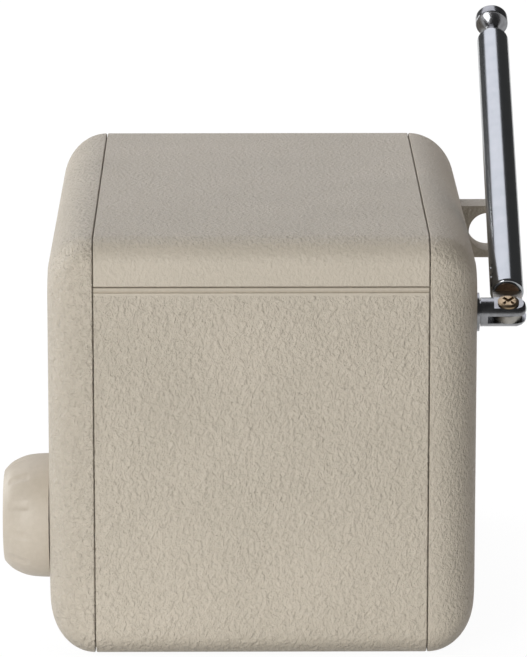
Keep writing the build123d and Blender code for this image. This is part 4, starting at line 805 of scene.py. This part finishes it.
def merged(node):
    """Copy of a CAD piece with its loose triangles joined up, so that it can be shaded smooth."""
    shape = bmesh.new()
    shape.from_mesh(frame["nodes"][node].data)
    bmesh.ops.remove_doubles(shape, verts=shape.verts, dist=CAD_WELD)
    bmesh.ops.dissolve_limit(shape, angle_limit=FLAT_WITHIN, verts=shape.verts, edges=shape.edges)
    plain = bpy.data.meshes.new(node)
    points = [v.co.copy() for v in shape.verts]
    shape.verts.index_update()
    plain.from_pydata(points, [], [[v.index for v in face.verts] for face in shape.faces])
    shape.free()
    return plain


place("battery_door_panel", merged("battery_door"), fine_grain, "door", "case_abs", "battery_door", sharp=25)

# Ferrite bar: the medium-wave antenna, a rod of sintered ferrite with a coil of enamelled copper wire. It
# is pushed into two holders under the top cover.
dress(sintered_ferrite, "ferrite_bar")
dress(copper_wire, "ferrite_coil")

# Antenna mount: a chromed bush in the rear wall, a chromed stub that swivels in it and is slotted into a
# fork, and a brass screw through the fork with a cross recess.
def joint(name):
    """A joint of the record by its name."""
    return next(j for j in frame["joints"] if j["name"] == name)


HINGE = Vector(joint("antenna_fold")["pos_m"])
SCREW_AXIS = -Vector(joint("antenna_fold")["axis"]).normalized()
ROD_AXIS = Vector(joint("second_tube_slide")["axis"]).normalized()
# Bright chrome on a drawn tube: long clean stripes of light and dark
chrome_plate = mottled("brass tube, chrome plated", "#A0A2A4", "#989B9E",
                       patch=4.0 * MM, relief=0.001 * MM, Metallic=1.0, Roughness=0.2)
# Chrome that has dulled on the small turned pieces: greyer, with softer reflections than the tube
dulled_chrome = mottled("turned brass, dulled chrome plate", "#8E8F91", "#7A7A7C",
                        patch=1.2 * MM, relief=0.003 * MM, Metallic=1.0, Roughness=0.24)
dress(dulled_chrome, "antenna_bush")
place("antenna_fork", merged("antenna_stub"), dulled_chrome, "swivel", "chrome_tube", "antenna_stub")
place("hinge_screw_brass", merged("hinge_screw"), turned_brass, "swivel", "brass", "hinge_screw")

# Antenna rod: a brass foot with a plated tab, held by the rolled-in end of the outer tube, then chromed
# tubes that slide in one another and a solid inner rod. Each tube is swaged in a little at its far end.
TUBE_RS = [3.5 * MM, 3.05 * MM, 2.6 * MM, 2.15 * MM]
TUBE_WALL = 0.4 * MM
ROD_STEPS = 96
ROLL_R, ROLL_T, ROLL_EDGE = 2.6 * MM, 0.5 * MM, 0.6 * MM
SWAGE = 1.2 * MM
DENT_R, DENT_TURN = 0.6 * MM, radians(62)
DENTS = (4.2 * MM, 7.4 * MM)


def reach(node):
    """Start and end of a piece along the rod, measured from the hinge."""
    along = [(vertex.co - HINGE).dot(ROD_AXIS) for vertex in frame["nodes"][node].data.vertices]
    return min(along), max(along)


def ball(at, radius):
    """Round cutter with its middle at a point."""
    outline = [(radius * sin(radians(turn)), -radius * cos(radians(turn))) for turn in range(0, 181, 15)]
    return skin("ball", spun_loops(outline, at, (0, 0, 1), steps=24))


# Brass sunk in the tube's end: a deep brown, partly its own brass and partly painted shade, with a dull shine
brass_with_painted_shade = mottled("cast brass, dark with painted shade", "#7E6650", "#5A4636",
                          patch=0.8 * MM, relief=0.01 * MM, Metallic=0.7, Roughness=0.45)
# Nickel on the tab: grey metal, fine-blasted, so that what lies beside it shows only as a blur
nickel_plate = mottled("cast brass, nickel plated", "#A29F99", "#8B8882",
                       patch=1.0 * MM, relief=0.003 * MM, Metallic=1.0, Roughness=0.42)
tube_start = reach("antenna_tube_outer")[0]
foot = place("antenna_foot_brass", merged("antenna_foot"), nickel_plate, "fold", "brass", "antenna_foot")
# The plug inside the tube's end takes the dark brass with painted shade; the tab keeps its nickel
foot.data.materials.append(brass_with_painted_shade)
for face in foot.data.polygons:
    face.material_index = int((face.center - HINGE).dot(ROD_AXIS) > tube_start - ROLL_T / 2)
tube_nodes = (("antenna_tube_outer", "fold"), ("antenna_tube_second", "second_tube"),
              ("antenna_tube_third", "third_tube"), ("antenna_tube_fourth", "fourth_tube"))
for (name, body), radius in zip(tube_nodes, TUBE_RS):
    start, end = reach(name)
    inner = radius - TUBE_WALL
    swaged = [(inner + TUBE_WALL * cos(radians(turn)), end - SWAGE + SWAGE * sin(radians(turn)))
              for turn in range(0, 91, 15)]
    foot_end = [(inner, start), (radius, start)]
    if name == "antenna_tube_outer":
        foot_end = [(inner, start + ROLL_T), (ROLL_R, start + ROLL_T), (ROLL_R, start)]
        foot_end += rounded_edge(radius, start, ROLL_EDGE)
    tube_mesh = skin(name, spun_loops(foot_end + swaged, HINGE, ROD_AXIS, ROD_STEPS), wrap=True)
    if name == "antenna_tube_outer":
        to_case = SCREW_AXIS * cos(DENT_TURN) - Vector((0, 1, 0)) * sin(DENT_TURN)
        beside_tube = HINGE + to_case * (radius + DENT_R / 2)
        tube_mesh = cut(tube_mesh, [ball(beside_tube + ROD_AXIS * (start + up), DENT_R) for up in DENTS])
    place(name + "_chrome", tube_mesh, chrome_plate, body, "chrome_tube", name)
place("antenna_inner_chrome", merged("antenna_rod_inner"), chrome_plate, "inner_rod", "chrome_tube",
      "antenna_rod_inner")

# Antenna tip: a button turned from brass and chromed, with a flat rim band, a cone under it and a thin neck
# that is pressed on the inner rod.
NECK_R, TIP_R = 1.5 * MM, 3.6 * MM
TIP_CONE, TIP_BAND, TIP_EDGE = 2.0 * MM, 2.8 * MM, 0.4 * MM
CONE_TURN = 30             # degrees of the round edge that the cone takes up
tip_start, tip_end = reach("antenna_tip")
band_start = tip_end - TIP_BAND
tip_outline = [(0, tip_start), (NECK_R, tip_start), (NECK_R, band_start - TIP_CONE),
               (TIP_R - TIP_EDGE, band_start)]
tip_outline += rounded_edge(TIP_R, band_start, TIP_EDGE, first=CONE_TURN)
tip_outline += reversed(rounded_edge(TIP_R, tip_end, TIP_EDGE, way=-1))
tip_outline.append((0, tip_end))
tip_mesh = skin("antenna_tip", spun_loops(tip_outline, HINGE, ROD_AXIS, ROD_STEPS))
place("antenna_tip_chrome", tip_mesh, dulled_chrome, "inner_rod", "chrome_tube", "antenna_tip", sharp=40)

# Clip: a small fork of the same moulded ABS as the case, open to the rear, that the folded rod snaps into.
# Two pegs hold it in the rear wall.
place("antenna_clip_abs", merged("antenna_clip"), fine_grain, "case", "case_abs", "antenna_clip")

# Leads: three stranded wires in PVC insulation, from the loudspeaker, the battery bay and the antenna. Each
# is soldered to the main board.
# PVC insulation: plain red with a soft plastic shine
red_pvc = mottled("PVC insulation, red", "#A02B22", "#8C231B",
                  patch=1.5 * MM, relief=0.006 * MM, Roughness=0.45)
dress(red_pvc, "leads")

# Floor, light and camera: a sheet of white paper under soft square lamps, as in a small studio. The paper
# looks plain white but keeps the radio's shadow, and the camera looks at the right-hand side.
FLOOR_SIZE = 6.0
PAPER_GLOW, GLOW_SHARE = 1.06, 0.9
floor_mesh = bpy.data.meshes.new("studio_floor")
floor_mesh.from_pydata([(x, y, 0) for x, y in ((-FLOOR_SIZE, -FLOOR_SIZE), (FLOOR_SIZE, -FLOOR_SIZE),
                                               (FLOOR_SIZE, FLOOR_SIZE), (-FLOOR_SIZE, FLOOR_SIZE))],
                       [], [(0, 1, 2, 3)])
# Studio paper: matt white, with a glow for what the eye sees so that only the shadow tints it
paper, tree, shader = finish("white studio paper", Base_Color=linear("#DEDEDE"), Roughness=0.9)
rays = add_node(tree, "LightPath").outputs
seen = add_node(tree, "Math", {"operation": "MAXIMUM"}, _0=rays["Is Camera Ray"],
                _1=rays["Is Transmission Ray"])
seen = add_node(tree, "Math", {"operation": "MAXIMUM"}, _0=seen.outputs[0], _1=rays["Is Glossy Ray"])
share = add_node(tree, "Math", {"operation": "MULTIPLY"}, _0=seen.outputs[0], _1=GLOW_SHARE)
glow = add_node(tree, "Emission", Color=(1, 1, 1, 1), Strength=PAPER_GLOW)
both = add_node(tree, "MixShader", _0=share.outputs[0], _1=shader.outputs[0], _2=glow.outputs[0])
tree.links.new(both.outputs[0], tree.nodes["Material Output"].inputs["Surface"])
floor_mesh.materials.append(paper)
floor = bpy.data.objects.new("studio_floor", floor_mesh)
bpy.context.scene.collection.objects.link(floor)

ROOM_LIGHT = 0.2
ROOM_REFLECTED = 0.07
scene = bpy.context.scene
scene.view_settings.view_transform = "Standard"
sky = bpy.data.worlds.new("studio")
scene.world = sky
sky.use_nodes = True
room = sky.node_tree
glossy = add_node(room, "LightPath").outputs["Is Glossy Ray"]
level = add_node(room, "MapRange", Value=glossy, To_Min=ROOM_LIGHT, To_Max=ROOM_REFLECTED).outputs[0]
room.links.new(level, room.nodes["Background"].inputs["Strength"])
room.nodes["Background"].inputs["Color"].default_value = (1, 1, 1, 1)


def softbox(name, at, towards, size, power, reflected=True, colour="#FFFFFF"):
    """Square area lamp that looks at a point, seen in shiny pieces or not."""
    lamp = bpy.data.lights.new(name, "AREA")
    lamp.shape = "SQUARE"
    lamp.size = size
    lamp.energy = power
    lamp.color = linear(colour)[:3]
    holder = bpy.data.objects.new(name, lamp)
    holder.location = at
    holder.rotation_euler = (Vector(towards) - Vector(at)).to_track_quat("-Z", "Y").to_euler()
    holder.visible_camera = False
    holder.visible_glossy = reflected
    scene.collection.objects.link(holder)


softbox("key", (0.95, -0.5, 0.3), (0, 0, 0.03), size=0.5, power=7.9)
softbox("overhead", (-0.46, -0.16, 0.85), (0, 0.05, 0.1), size=0.85, power=4.4, colour="#F6F7FF")
softbox("backdrop", (-1.2, 0, 0.36), (0, 0, 0.09), size=0.7, power=1.3)
softbox("front fill", (-0.6, -1.0, 0.3), (0, 0, 0.05), size=0.6, power=7.0)
softbox("paper bounce", (0.125, -0.005, 0.003), (0.125, -0.005, 0.1), size=0.12, power=0.025, reflected=False)
softbox("rear fill", (-0.7, 0.9, 0.3), (0, 0, 0.05), size=0.6, power=1.3, reflected=False, colour="#FFDCC0")

CAMERA_AT = Vector((0.979, -0.0067, 0.2783))
CAMERA_LOOK = Vector((-1.0, 0.0075, -0.2263))
SENSOR_MM, LENS_MM = 36.0, 252.6
CLIP_START = 0.01
camera = bpy.data.objects.new("camera", bpy.data.cameras.new("camera"))
camera.location = CAMERA_AT
camera.rotation_euler = CAMERA_LOOK.to_track_quat("-Z", "Y").to_euler()
camera.data.sensor_fit = "VERTICAL"
camera.data.sensor_height = SENSOR_MM
camera.data.lens = LENS_MM
camera.data.clip_start = CLIP_START
scene.collection.objects.link(camera)
scene.camera = camera
